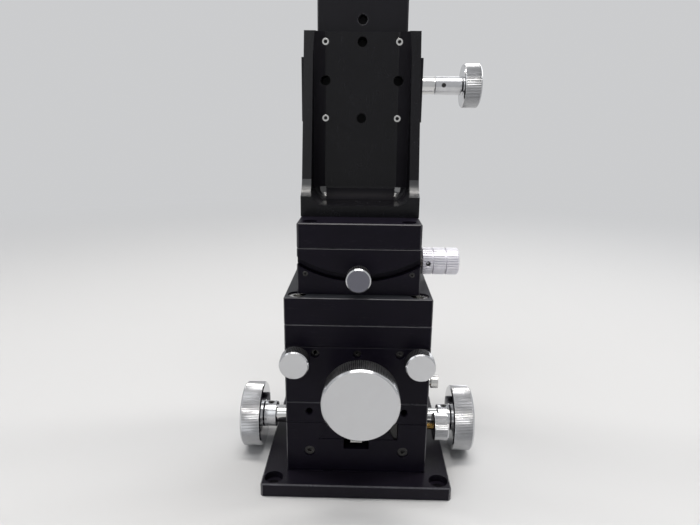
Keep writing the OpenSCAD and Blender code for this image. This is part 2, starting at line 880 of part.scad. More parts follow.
module tilt_clamp_knob() {
    r = tilt_knob_r;
    color([0.85, 0.85, 0.85]) translate([0, -ch - 5, z_axis - clamp_r]) rotate([90, 0, 0])
        rotate_extrude() polygon([
            [clamp_screw_d / 2 + fit, 0], [r - 0.4, 0], [r, 0.4], [r, 5.6], [r - 0.4, 6],
            [0, 6], [0, 4.5], [clamp_screw_d / 2 + fit, 4.5]
        ]);
}

module tilt_clamp_screw() {
    color([0.75, 0.75, 0.75])
        cy(clamp_screw_d / 2, -ch - 9.5, -arc_wall + 0.2, 0, z_axis - clamp_r);
}

bracket_screw_x = 15;
bracket_screw_ys = [foot_y + 5, y_back - 5];

module tilt_top() {
    color([0.08, 0.08, 0.11]) difference() {
        block(cradle_w, z_t0, z_t1, 0.4, 0.4, 0.8);
        four(top_screw) {
            cz(m3_r + run, z_t0 - over, z_t1 + over);
            cz(m3_head_r + 0.25, z_t1 - m3_head_h - 1, z_t1 + over);
        }
        for (x = [-bracket_screw_x, bracket_screw_x]) {
            for (y = bracket_screw_ys) {
                cz(m3_r + run, z_t0 - over, z_t1 + over, x, y);
                cz(m3_head_r + 0.25, z_t0 - over, z_t0 + 4, x, y);
            }
        }
    }
}

module tilt_top_screws() {
    color([0.25, 0.25, 0.27]) four(top_screw) {
        translate([0, 0, z_t1 - m3_head_h - 1])
            cap_screw(m3_r, top_t - m3_head_h - 1 + 4.5, m3_head_r, m3_head_h);
    }
}

// bracket
module bracket() {
    t = (toe_r * (1 - edge_dy) - (edge_z0 - z_t1 - toe_h)) / edge_dz;
    py = edge_y0 + t * edge_dy;
    pz = edge_z0 + t * edge_dz;
    color([0.12, 0.12, 0.15]) difference() {
        pull_x(-ch, ch) polygon([
            [foot_y, z_t1], [y_back, z_t1], [y_back, z_top], [edge_y1, z_top],
            [py, pz], [foot_y, pz]
        ]);
        cx(toe_r, -ch - over, ch + over, py - toe_r * edge_dz, pz + toe_r * edge_dy);
        soft_box(-ch + gusset_t, ch - gusset_t, foot_y - 12, y_up, z_floor, z_top + 12, 6);
        for (p = [[0, 0.5], [0, -0.5], [0.5, 0], [-0.5, 0]]) {
            cy(tap_d / 2, y_up - over, y_back + over, p[0] * pattern, pat_z + p[1] * pattern);
            cy(tap_d / 2 + 0.2, y_up - over, y_up + 0.3, p[0] * pattern, pat_z + p[1] * pattern);
        }
        for (x = [-pattern / 2, pattern / 2]) {
            for (z = [pat_z - pattern / 2, pat_z + pattern / 2]) {
                cy(m3_r + run, y_up - over, y_back + over, x, z);
            }
        }
        for (x = [-bracket_screw_x, bracket_screw_x]) {
            for (y = bracket_screw_ys) {
                cz(m3_r + run, z_t1 - over, z_t1 + 3.6, x, y);
            }
        }
    }
}

module bracket_screws() {
    color([0.6, 0.6, 0.62]) for (x = [-bracket_screw_x, bracket_screw_x]) {
        for (y = bracket_screw_ys) {
            translate([x, y, z_t0 + 4]) rotate([180, 0, 0])
                cap_screw(m3_r, top_t - 4 + 3.2, m3_head_r, m3_head_h);
        }
    }
}

// vertical slide
module z_rail() {
    z0 = rail_z0;
    z1 = rail_z0 + rail_l;
    w = rail_w / 2;
    c = 0.5;
    color([0.1, 0.1, 0.13]) difference() {
        translate([0, 0, z0]) linear_extrude(rail_l) polygon([
            [-w + c, y_back], [w - c, y_back], [w, y_back + c], [w, z_seam - c], [w - c, z_seam],
            [z_neck, z_seam], [z_tip_half, z_seam + z_tongue], [-z_tip_half, z_seam + z_tongue],
            [-z_neck, z_seam], [-w + c, z_seam], [-w, z_seam - c], [-w, y_back + c]
        ]);
        for (x = [-pattern / 2, pattern / 2]) {
            for (z = [pat_z - pattern / 2, pat_z + pattern / 2]) {
                cy(m3_r + run, y_back - over, z_seam + over, x, z);
                cy(m3_head_r + 0.25, z_seam - m3_head_h - 0.2, z_seam + over, x, z);
            }
        }
        cy(tap_d / 2, y_back - over, y_back + 7, 0, z_top + 6);
        cy(tap_d / 2 + 0.25, y_back - over, y_back + 0.4, 0, z_top + 6);
        for (p = [[0, 0.5], [0, -0.5], [0.5, 0], [-0.5, 0]]) {
            cy(tap_d / 2 + fit, y_back - over, y_back + rail_t - 1, p[0] * pattern, pat_z + p[1] * pattern);
        }
    }
}

module z_rail_screws() {
    color([0.75, 0.75, 0.78]) for (x = [-pattern / 2, pattern / 2]) {
        for (z = [pat_z - pattern / 2, pat_z + pattern / 2]) {
            difference() {
                translate([x, z_seam - m3_head_h - 0.2, z]) rotate([-90, 0, 0])
                    cap_screw(m3_r, rail_t - m3_head_h - 0.2 + upright_t + 0.3, m3_head_r, m3_head_h);
                translate([x, y_up + 0.9, z]) rotate([90, 0, 0])
                    cylinder(r = m3_r * 0.55, h = 1.2 + over, $fn = 6);
            }
        }
    }
}

module z_rack() {
    n0 = floor((z_pin_z - rail_z0 - 3) / pitch_p);
    n1 = floor((rail_z0 + rail_l - z_pin_z - 3) / pitch_p);
    base = z_seam + z_tongue;
    pts = concat(
        [for (k = [-n0 : n1]) for (j = [0 : 5]) [
            z_rack_root + 1.2 * gear_m + rise_at(j, gear_m),
            z_pin_z + k * pitch_p + tooth_at(j, tooth_p, tooth_t, tooth_r)
        ]],
        [[base, z_pin_z + n1 * pitch_p + tooth_r / 2], [base, z_pin_z - n0 * pitch_p - tooth_r / 2]]
    );
    color([0.75, 0.75, 0.75]) pull_x(-rack_w / 2, rack_w / 2) polygon(pts);
}

module z_carriage() {
    z0 = z_car0;
    z1 = z_car0 + z_body_h;
    y0 = z_seam + gap;
    y1 = y0 + z_body_d;
    d = z_tongue + gap;
    c = 0.4;
    color([0.08, 0.08, 0.11]) difference() {
        translate([0, 0, z0]) linear_extrude(z_body_h) polygon([
            [-z_half + c, y0], [z_half - c, y0], [z_half, y0 + c], [z_half, y1 - c],
            [z_half - c, y1], [-z_half + c, y1], [-z_half, y1 - c], [-z_half, y0 + c]
        ]);
        translate([0, 0, z0 - over]) linear_extrude(z_body_h + 2 * over) polygon([
            [z_wall, y0 - over], [z_wall, z_seam + d], [-z_neck - d * flare - run, z_seam + d],
            [-z_neck - run, z_seam], [-z_neck - run, y0 - over]
        ]);
        box(-rack_w / 2 - 1, rack_w / 2 + 1, z_seam, z_rack_tip + 0.6, z0 - over, z1 + over);
        cx(z_shaft_r + 0.3, -z_shaft_in, z_half + over, z_pin_y, z_pin_z);
        cx(z_bush_r + fit, z_half - 8, z_half + over, z_pin_y, z_pin_z);
        for (z = [z0 + 4.5, z1 - 4]) {
            cx(1.5 + run, z_wall - 0.5, z_half + over, z_seam + 2.4, z);
        }
        for (x = [-16, 16]) {
            for (z = [z0 + 4.25, z0 + 24.25]) {
                cy(tap_d / 2, y1 - 5, y1 + over, x, z);
            }
        }
    }
}

module z_gib() {
    d = z_tongue + gap;
    color([0.5, 0.5, 0.5]) translate([0, 0, z_car0 + 0.2]) linear_extrude(z_body_h - 0.4) polygon([
        [z_neck + run + 0.5 * flare, z_seam + 0.5], [z_gib_out, z_seam + 0.5],
        [z_gib_out, z_seam + d], [z_neck + run + d * flare, z_seam + d]
    ]);
}

module z_gib_screws() {
    color([0.2, 0.2, 0.2]) for (z = [z_car0 + 4.5, z_car0 + z_body_h - 4]) {
        translate([z_gib_out, z_seam + 2.4, z]) rotate([0, 90, 0])
            set_screw(1.5, z_half - 0.6 - z_gib_out);
    }
}

module z_bush() {
    color([0.7, 0.7, 0.72]) difference() {
        cx(z_bush_r, z_half - 8, z_half + 6, z_pin_y, z_pin_z);
        cx(z_shaft_r + run, z_half - 9, z_half + 7, z_pin_y, z_pin_z);
    }
}

module z_pinion_shaft() {
    w = rack_w / 2 + 1;
    color([0.8, 0.8, 0.8]) union() {
        cx(z_shaft_r, gap - z_shaft_in, -w, z_pin_y, z_pin_z);
        cx(z_shaft_r, w, z_knob_x + z_knob_grip, z_pin_y, z_pin_z);
        translate([0, z_pin_y, z_pin_z]) pull_x(-w, w)
            polygon(gear_pts(z_pinion_n, z_pin_r, 180 + 180 / z_pinion_n));
    }
}

module z_knob() {
    difference() {
        color([0.9, 0.9, 0.9]) translate([z_hub_x, z_pin_y, z_pin_z]) rotate([0, 90, 0])
            turned_knob(z_knob_d / 2, z_knob_w, z_shaft_r + 1.15, z_hub_l, z_shaft_r + fit,
                z_hub_l + z_knob_grip + 0.2);
        cy(1 + fit, z_pin_y - 10, z_pin_y, z_hub_x + 4, z_pin_z);
    }
}

module z_knob_set_screw() {
    color([0.2, 0.2, 0.2]) translate([z_hub_x + 4, z_pin_y - z_shaft_r, z_pin_z]) rotate([90, 0, 0])
        set_screw(1, 1);
}

base_plate();
plate_screws();
y_body();
y_gib();
y_gib_screws();
y_bushes();
y_front_screws();
y_pinion_shaft();
y_knob_left();
y_knob_right();
y_knob_set_screws();
y_clamp_knob();
y_clamp_screw();
y_table();
y_rack();
y_rack_screws();
x_body();
x_body_screws();
x_gib();
x_gib_screws();
x_bushes();
x_side_screw();
x_pinion_shaft();
x_knob();
x_knob_set_screw();
x_lock_knob_left();
x_lock_screw_left();
x_lock_knob_right();
x_lock_screw_right();
x_table();
x_rack();
x_rack_screws();
adapter_plate();
adapter_screws();
cradle_base();
cradle_screws();
tilt_stop_pins();
worm_bush();
worm_shaft();
drive_knob();
drive_knob_set_screw();
tilt_saddle();
tilt_segment();
tilt_gib();
tilt_clamp_knob();
tilt_clamp_screw();
tilt_top();
tilt_top_screws();
bracket();
bracket_screws();
z_rail();
z_rail_screws();
z_rack();
z_carriage();
z_gib();
z_gib_screws();
z_bush();
z_pinion_shaft();
z_knob();
z_knob_set_screw();
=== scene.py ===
import json
import math
import bpy
from mathutils import Matrix, Vector

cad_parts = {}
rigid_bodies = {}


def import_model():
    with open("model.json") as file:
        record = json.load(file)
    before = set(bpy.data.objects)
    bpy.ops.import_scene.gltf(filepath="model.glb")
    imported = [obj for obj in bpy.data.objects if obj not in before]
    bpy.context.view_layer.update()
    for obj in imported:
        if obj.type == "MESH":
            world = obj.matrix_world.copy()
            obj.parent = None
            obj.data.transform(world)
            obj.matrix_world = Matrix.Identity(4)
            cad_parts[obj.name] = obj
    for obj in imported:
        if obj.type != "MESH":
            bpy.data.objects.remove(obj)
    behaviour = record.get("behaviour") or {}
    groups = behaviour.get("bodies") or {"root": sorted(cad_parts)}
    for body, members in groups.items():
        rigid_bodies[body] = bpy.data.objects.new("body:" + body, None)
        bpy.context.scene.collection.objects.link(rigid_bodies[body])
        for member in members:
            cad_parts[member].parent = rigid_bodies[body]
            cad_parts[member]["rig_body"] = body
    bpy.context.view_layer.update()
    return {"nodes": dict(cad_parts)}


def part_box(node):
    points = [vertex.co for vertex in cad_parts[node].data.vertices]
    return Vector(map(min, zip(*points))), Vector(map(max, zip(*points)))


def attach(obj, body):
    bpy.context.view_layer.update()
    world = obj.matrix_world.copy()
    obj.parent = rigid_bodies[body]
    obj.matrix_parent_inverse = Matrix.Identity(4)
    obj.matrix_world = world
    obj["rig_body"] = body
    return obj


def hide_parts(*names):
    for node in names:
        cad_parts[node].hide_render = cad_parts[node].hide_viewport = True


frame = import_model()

bpy.ops.object.select_all(action="DESELECT")

# Studio and camera
# A seamless pale sweep of painted board, open at the top, with two soft tubes and a wide strip
# overhead and broad soft panels in front and behind. The camera stands where the photograph was
# taken from.
SWEEP = (0.64, 0.645, 0.655)
MOTTLE = 0.015
WALL_GLOW = (0.60, 0.605, 0.615)
WALL_FROM, WALL_TO = 0.22, 0.9
FLOOR_R, BEND_R, WALL_H = 1.5, 0.6, 1.2
BEND_STEPS = 12


def node_in(tree, kind, label="", **settings):
    n = tree.nodes.new(kind)
    if label:
        n.label = label
    for key, value in settings.items():
        setattr(n, key, value)
    return n


def only(obj):
    bpy.ops.object.select_all(action="DESELECT")
    bpy.context.view_layer.objects.active = obj
    obj.select_set(True)


bpy.ops.mesh.primitive_circle_add(vertices=128, radius=FLOOR_R, fill_type="NGON")
sweep = bpy.context.object
sweep.name = "pale_sweep"
bpy.ops.object.mode_set(mode="EDIT")
for step in range(1, BEND_STEPS + 1):
    a = math.radians(90 / BEND_STEPS * step)
    b = math.radians(90 / BEND_STEPS * (step - 1))
    bpy.ops.mesh.select_all(action="DESELECT")
    bpy.ops.object.mode_set(mode="OBJECT")
    top = max(v.co.z for v in sweep.data.vertices)
    rim = max(math.hypot(v.co.x, v.co.y) for v in sweep.data.vertices)
    upper_rim = {v.index for v in sweep.data.vertices
                 if abs(v.co.z - top) < 1e-5 and abs(math.hypot(v.co.x, v.co.y) - rim) < 1e-4}
    for e in sweep.data.edges:
        e.select = all(i in upper_rim for i in e.vertices)
    bpy.ops.object.mode_set(mode="EDIT")
    bpy.ops.mesh.select_mode(type="EDGE")
    wider = (rim + BEND_R * (math.sin(a) - math.sin(b))) / rim
    up = BEND_R * (math.cos(b) - math.cos(a))
    bpy.ops.mesh.extrude_region_move(TRANSFORM_OT_translate={"value": (0, 0, up)})
    bpy.ops.transform.resize(value=(wider, wider, 1), center_override=(0, 0, 0))
bpy.ops.mesh.extrude_region_move(TRANSFORM_OT_translate={"value": (0, 0, WALL_H)})
bpy.ops.mesh.select_all(action="SELECT")
bpy.ops.mesh.normals_make_consistent(inside=True)
bpy.ops.object.mode_set(mode="OBJECT")
only(sweep)
bpy.ops.object.shade_smooth_by_angle(angle=math.radians(40))

board = bpy.data.materials.new("painted_board")
board.use_nodes = True
tree = board.node_tree
shader = tree.nodes["Principled BSDF"]
shader.inputs["Roughness"].default_value = 0.75
shader.inputs["Specular IOR Level"].default_value = 0.25
place = node_in(tree, "ShaderNodeTexCoord")
mottle = node_in(tree, "ShaderNodeTexNoise")
mottle.inputs["Scale"].default_value = 3.0
mottle.inputs["Detail"].default_value = 3.0
tint = node_in(tree, "ShaderNodeMix", data_type="RGBA")
tint.inputs["A"].default_value = (*[c * (1 - MOTTLE) for c in SWEEP], 1)
tint.inputs["B"].default_value = (*[c * (1 + MOTTLE) for c in SWEEP], 1)
tree.links.new(place.outputs["Object"], mottle.inputs["Vector"])
tree.links.new(mottle.outputs["Fac"], tint.inputs["Factor"])
tree.links.new(tint.outputs["Result"], shader.inputs["Base Color"])
# far off it keeps one pale colour for the camera and for bright metal, near by it keeps its shadows
reach = node_in(tree, "ShaderNodeVectorMath", operation="LENGTH")
tree.links.new(place.outputs["Object"], reach.inputs[0])
rise = node_in(tree, "ShaderNodeMapRange", interpolation_type="SMOOTHSTEP")
rise.inputs["From Min"].default_value = WALL_FROM
rise.inputs["From Max"].default_value = WALL_TO
tree.links.new(reach.outputs["Value"], rise.inputs["Value"])
ray = node_in(tree, "ShaderNodeLightPath")
seen = node_in(tree, "ShaderNodeMath", operation="MAXIMUM")
tree.links.new(ray.outputs["Is Camera Ray"], seen.inputs[0])
tree.links.new(ray.outputs["Is Glossy Ray"], seen.inputs[1])
share = node_in(tree, "ShaderNodeMath", operation="MULTIPLY")
tree.links.new(seen.outputs[0], share.inputs[0])
tree.links.new(rise.outputs["Result"], share.inputs[1])
glow = node_in(tree, "ShaderNodeEmission")
glow.inputs["Color"].default_value = (*WALL_GLOW, 1)
blend = node_in(tree, "ShaderNodeMixShader")
tree.links.new(share.outputs[0], blend.inputs["Fac"])
tree.links.new(shader.outputs[0], blend.inputs[1])
tree.links.new(glow.outputs[0], blend.inputs[2])
tree.links.new(blend.outputs[0], tree.nodes["Material Output"].inputs["Surface"])
sweep.data.materials.append(board)

world = bpy.data.worlds.new("soft_room")
bpy.context.scene.world = world
world.use_nodes = True
tree = world.node_tree
sky = tree.nodes["Background"]
sky.inputs["Strength"].default_value = 0.5
sky.inputs["Color"].default_value = (0.93, 0.95, 1.0, 1)


def soft_lamp(name, size, place, target, power, colour):
    bpy.ops.object.light_add(type="AREA", location=place)
    lamp = bpy.context.object
    lamp.name = name
    lamp.data.shape = "RECTANGLE"
    lamp.data.size = size[0]
    lamp.data.size_y = size[1]
    lamp.data.energy = power
    lamp.data.color = colour
    lamp.rotation_euler = (Vector(target) - Vector(place)).to_track_quat("-Z", "Y").to_euler()


TUBE_WHITE, PANEL_WHITE = (1.0, 0.965, 0.92), (0.97, 0.985, 1.0)
soft_lamp("tube_left", (0.10, 1.2), (-0.34, 0.10, 1.15), (0, 0, 0.08), 6.0, TUBE_WHITE)
soft_lamp("tube_right", (0.10, 1.2), (0.38, 0.10, 1.12), (0, 0, 0.08), 5.6, TUBE_WHITE)
soft_lamp("front_top", (0.9, 0.22), (0.02, -0.36, 1.12), (0, 0, 0.1), 3.2, (1.0, 0.985, 0.96))
soft_lamp("front_panel", (1.3, 0.9), (-0.75, -0.95, 0.75), (0, 0, 0.1), 4.2, PANEL_WHITE)
soft_lamp("back_panel", (1.2, 0.8), (0.7, 0.95, 0.8), (0, 0, 0.12), 5.5, PANEL_WHITE)

# the photograph's focal length and width in its own pixels, and where its camera stood
PHOTO_F, PHOTO_W = 538.32, 700
CAMERA_AT = (0.00105, -0.23427, 0.15272)
PITCH, YAW, ROLL = math.radians(14.48), math.radians(-1.26), math.radians(0.59)
forward = Vector((math.sin(YAW) * math.cos(PITCH), math.cos(YAW) * math.cos(PITCH),
                  -math.sin(PITCH)))
side = Vector((math.cos(YAW), -math.sin(YAW), 0))
over = side.cross(forward)
right = math.cos(ROLL) * side + math.sin(ROLL) * over
upward = -math.sin(ROLL) * side + math.cos(ROLL) * over
bpy.ops.object.camera_add()
camera = bpy.context.object
camera.name = "photo_camera"
camera.data.sensor_width = 36.0
camera.data.lens = PHOTO_F / PHOTO_W * camera.data.sensor_width
camera.data.clip_start = 0.01
camera.data.clip_end = 20
turn = Matrix((right, upward, -forward)).transposed().to_4x4()
camera.matrix_world = Matrix.Translation(CAMERA_AT) @ turn
bpy.context.scene.camera = camera
bpy.context.scene.view_settings.view_transform = "Standard"

# Base plate
# An 80 mm square of milled aluminium, bead blasted and dyed black, that carries everything else.
# Four counterbored holes take the bench screws; the edges are broken, have lost a little dye and
# are painted lighter, part wear and part painted highlight.
# lighter colour for broken edges and scuffs: part rubbed dye, part painted edge highlight
DYE_WEAR_AND_SHEEN = (0.10, 0.10, 0.115)
CHAMFER = 0.0005
WELD = 0.000002
LEANING = 0.93
SEAM_NEAR = 0.001
EDGE_SMOOTHER, EDGE_GLOSSIER = 0.08, 0.3
PLATE_EDGE = 0.00015
DYE_RELIEF = 0.00005
FLAT_WITHIN = 0.5


def surface_group(name, inputs):
    # a node group with these inputs that puts out a colour, a roughness and a height
    g = bpy.data.node_groups.new(name, "ShaderNodeTree")
    for label, kind, value in inputs:
        g.interface.new_socket(label, in_out="INPUT", socket_type=kind).default_value = value
    g.interface.new_socket("Color", in_out="OUTPUT", socket_type="NodeSocketColor")
    g.interface.new_socket("Roughness", in_out="OUTPUT", socket_type="NodeSocketFloat")
    g.interface.new_socket("Height", in_out="OUTPUT", socket_type="NodeSocketFloat")
    given = node_in(g, "NodeGroupInput")
    result = node_in(g, "NodeGroupOutput")
    return g, given, result, node_in(g, "ShaderNodeTexCoord")


def surface_material(name, group, values, bump, depth):
    # a material whose own shader takes colour, roughness and bump from the group
    m = bpy.data.materials.new(name)
    m.use_nodes = True
    t = m.node_tree
    s = t.nodes["Principled BSDF"]
    look = node_in(t, "ShaderNodeGroup", node_tree=group)
    for label, value in values.items():
        look.inputs[label].default_value = value
    t.links.new(look.outputs["Color"], s.inputs["Base Color"])
    t.links.new(look.outputs["Roughness"], s.inputs["Roughness"])
    b = node_in(t, "ShaderNodeBump")
    b.inputs["Strength"].default_value = bump
    b.inputs["Distance"].default_value = depth
    t.links.new(look.outputs["Height"], b.inputs["Height"])
    t.links.new(b.outputs["Normal"], s.inputs["Normal"])
    return m, s


def machined_group():
    # blasted grain, cloudy dye, fine scuffs and rubbed edges, all in metres on the piece; the lighter
    # rubbed colour on broken edges is part wear and part painted highlight
    g, given, result, place = surface_group("dyed_surface", (
        ("Base", "NodeSocketColor", (0.02, 0.02, 0.025, 1)),
        ("WearAndSheen", "NodeSocketColor", (0.3, 0.3, 0.32, 1)),
        ("Edge", "NodeSocketFloat", 0.5),
        ("Scuff", "NodeSocketFloat", 0.3),
        ("Rough", "NodeSocketFloat", 0.4),
        ("Grain", "NodeSocketFloat", 2600.0),
        ("Along", "NodeSocketVector", (1, 1, 1)),
    ))

    # the dye is a little cloudy
    cloud = node_in(g, "ShaderNodeTexNoise", "dye clouds")
    cloud.inputs["Scale"].default_value = 70.0
    cloud.inputs["Detail"].default_value = 5.0
    cloud.inputs["Roughness"].default_value = 0.6
    g.links.new(place.outputs["Object"], cloud.inputs["Vector"])
    span = node_in(g, "ShaderNodeMapRange")
    span.inputs["From Min"].default_value = 0.25
    span.inputs["From Max"].default_value = 0.75
    span.inputs["To Min"].default_value = 0.82
    span.inputs["To Max"].default_value = 1.2
    g.links.new(cloud.outputs["Fac"], span.inputs["Value"])
    dyed = node_in(g, "ShaderNodeVectorMath", operation="SCALE")
    g.links.new(given.outputs["Base"], dyed.inputs[0])
    g.links.new(span.outputs["Result"], dyed.inputs["Scale"])

    # rubbed bare in patches, as strongly as Edge says: part wear, part painted edge highlight
    patch = node_in(g, "ShaderNodeTexNoise", "rubbed patches")
    patch.inputs["Scale"].default_value = 240.0
    patch.inputs["Detail"].default_value = 4.0
    g.links.new(place.outputs["Object"], patch.inputs["Vector"])
    broken = node_in(g, "ShaderNodeMapRange")
    broken.inputs["From Min"].default_value = 0.35
    broken.inputs["From Max"].default_value = 0.65
    broken.inputs["To Min"].default_value = 0.35
    broken.inputs["To Max"].default_value = 1.0
    g.links.new(patch.outputs["Fac"], broken.inputs["Value"])
    edge_wear_and_sheen = node_in(g, "ShaderNodeMath", operation="MULTIPLY", use_clamp=True)
    g.links.new(broken.outputs["Result"], edge_wear_and_sheen.inputs[0])
    g.links.new(given.outputs["Edge"], edge_wear_and_sheen.inputs[1])

    # scuffs: long thin marks along the way the piece was wiped and handled
    wiped = node_in(g, "ShaderNodeVectorMath", operation="MULTIPLY")
    g.links.new(place.outputs["Object"], wiped.inputs[0])
    g.links.new(given.outputs["Along"], wiped.inputs[1])
    marks = node_in(g, "ShaderNodeTexNoise", "scuffs")
    marks.inputs["Scale"].default_value = 900.0
    marks.inputs["Detail"].default_value = 4.0
    marks.inputs["Roughness"].default_value = 0.65
    g.links.new(wiped.outputs[0], marks.inputs["Vector"])
    thin = node_in(g, "ShaderNodeMapRange")
    thin.inputs["From Min"].default_value = 0.6
    thin.inputs["From Max"].default_value = 0.78
    g.links.new(marks.outputs["Fac"], thin.inputs["Value"])
    scuffed = node_in(g, "ShaderNodeMath", operation="MULTIPLY", use_clamp=True)
    g.links.new(thin.outputs["Result"], scuffed.inputs[0])
    g.links.new(given.outputs["Scuff"], scuffed.inputs[1])
    soft = node_in(g, "ShaderNodeMath", operation="MULTIPLY")
    g.links.new(scuffed.outputs[0], soft.inputs[0])
    soft.inputs[1].default_value = 0.25
    total = node_in(g, "ShaderNodeMath", operation="MAXIMUM")
    g.links.new(edge_wear_and_sheen.outputs[0], total.inputs[0])
    g.links.new(soft.outputs[0], total.inputs[1])
    shown = node_in(g, "ShaderNodeMix", data_type="RGBA")
    g.links.new(total.outputs[0], shown.inputs["Factor"])
    g.links.new(dyed.outputs[0], shown.inputs["A"])
    g.links.new(given.outputs["WearAndSheen"], shown.inputs["B"])
    g.links.new(shown.outputs["Result"], result.inputs["Color"])

    # roughness follows the clouds, smoother where it is rubbed
    lift = node_in(g, "ShaderNodeMath", operation="MULTIPLY_ADD")
    g.links.new(cloud.outputs["Fac"], lift.inputs[0])
    lift.inputs[1].default_value = 0.16
    g.links.new(given.outputs["Rough"], lift.inputs[2])
    wear_and_sheen = node_in(g, "ShaderNodeMath", operation="MULTIPLY_ADD", use_clamp=True)
    g.links.new(total.outputs[0], wear_and_sheen.inputs[0])
    wear_and_sheen.inputs[1].default_value = -0.12
    g.links.new(lift.outputs[0], wear_and_sheen.inputs[2])
    g.links.new(wear_and_sheen.outputs[0], result.inputs["Roughness"])

    # the blasting left a fine grain, and scuffs are a little sunk
    grain = node_in(g, "ShaderNodeTexNoise", "blasted grain")
    grain.inputs["Detail"].default_value = 2.0
    g.links.new(place.outputs["Object"], grain.inputs["Vector"])
    g.links.new(given.outputs["Grain"], grain.inputs["Scale"])
    height = node_in(g, "ShaderNodeMath", operation="MULTIPLY_ADD")
    g.links.new(scuffed.outputs[0], height.inputs[0])
    height.inputs[1].default_value = -0.5
    g.links.new(grain.outputs["Fac"], height.inputs[2])
    g.links.new(height.outputs[0], result.inputs["Height"])
    return g


DYED = machined_group()


def dyed_material(name, base, edge, scuff, rough, along, bump, wear_and_sheen, gloss):
    values = {"Base": (*base, 1), "WearAndSheen": (*wear_and_sheen, 1), "Edge": edge, "Scuff": scuff,
              "Rough": rough, "Along": along}
    m, s = surface_material(name, DYED, values, bump, DYE_RELIEF)
    s.inputs["Specular IOR Level"].default_value = gloss
    return m


def black_finish(name, base, edge, scuff, rough, along, bump=0.12, wear_and_sheen=DYE_WEAR_AND_SHEEN, gloss=0.2):
    # the dyed skin, and the same skin rubbed thin, smooth and lighter for broken edges, the lighter
    # colour being part wear and part painted highlight
    skin = dyed_material(name, base, 0.0, scuff, rough, along, bump, wear_and_sheen, gloss)
    rim = dyed_material(name + "_edge", base, edge, scuff, rough - EDGE_SMOOTHER, along, bump, wear_and_sheen,
                        gloss + EDGE_GLOSSIER)
    return skin, rim


def broken_edges(node, width, finish, segments=2, angle=32, sides=0, quiet=None):
    # a copy of the imported solid, welded, with every edge broken a little, in its finish; with
    # sides given, only edges that touch that many sides of the piece get the lighter rubbed colour,
    # which is part wear and part painted highlight, and none at the height quiet, where two blocks
    # meet
    source = frame["nodes"][node]
    piece = bpy.data.objects.new(node + "_made", source.data.copy())
    bpy.context.scene.collection.objects.link(piece)
    piece.data.materials.clear()
    for material in finish:
        piece.data.materials.append(material)
    for polygon in piece.data.polygons:
        polygon.material_index = 0
    only(piece)
    bpy.ops.object.mode_set(mode="EDIT")
    bpy.ops.mesh.select_mode(type="VERT")
    bpy.ops.mesh.select_all(action="SELECT")
    bpy.ops.mesh.remove_doubles(threshold=WELD)
    bpy.ops.mesh.dissolve_limited(angle_limit=math.radians(FLAT_WITHIN))
    bpy.ops.object.mode_set(mode="OBJECT")
    bevel = piece.modifiers.new("edges", "BEVEL")
    bevel.width = width
    bevel.segments = segments
    bevel.limit_method = "ANGLE"
    bevel.angle_limit = math.radians(angle)
    bevel.miter_outer = "MITER_ARC"
    bevel.material = len(finish) - 1
    only(piece)
    bpy.ops.object.modifier_apply(modifier="edges")
    if sides:
        low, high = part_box(node)
        for polygon in piece.data.polygons:
            at = polygon.center
            gaps = [min(abs(at[i] - low[i]), abs(at[i] - high[i])) for i in range(3)]
            touching = sum(gap < CHAMFER for gap in gaps)
            leans = max(abs(c) for c in polygon.normal) < LEANING
            seam = quiet is not None and abs(at.z - quiet) < SEAM_NEAR
            polygon.material_index = int(leans and touching >= sides and not seam)
    bpy.ops.object.shade_smooth_by_angle(angle=math.radians(angle))
    # large flat faces keep their own flat shading
    level = piece.modifiers.new("level", "WEIGHTED_NORMAL")
    level.weight = 100
    level.keep_sharp = True
    bpy.ops.object.modifier_apply(modifier="level")
    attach(piece, source["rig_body"])
    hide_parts(node)
    return piece


plate_black = black_finish("plate_black", (0.0075, 0.0060, 0.0110), 0.6, 0.45, 0.34, (1, 0.12, 1),
                           gloss=0.16)
broken_edges("base_plate", PLATE_EDGE, plate_black, sides=2)

# Bright small screws
# Stainless socket screws from stock, tumbled bright. Those under the plate and between the blocks
# are hidden. The adapter plate's four show in their counterbores and the rail's four show as
# small bright tips in the bracket, their sockets filled with painted shade.
SCREW_EDGE = 0.00012
METAL_RELIEF = 0.00004
RAIL_SCREW_R, RAIL_SCREW_HALF = 0.0015, 0.016
SOCKET_REACH = 0.8 * RAIL_SCREW_R
SOCKET_FROM, SOCKET_TO = 0.0001, 0.004


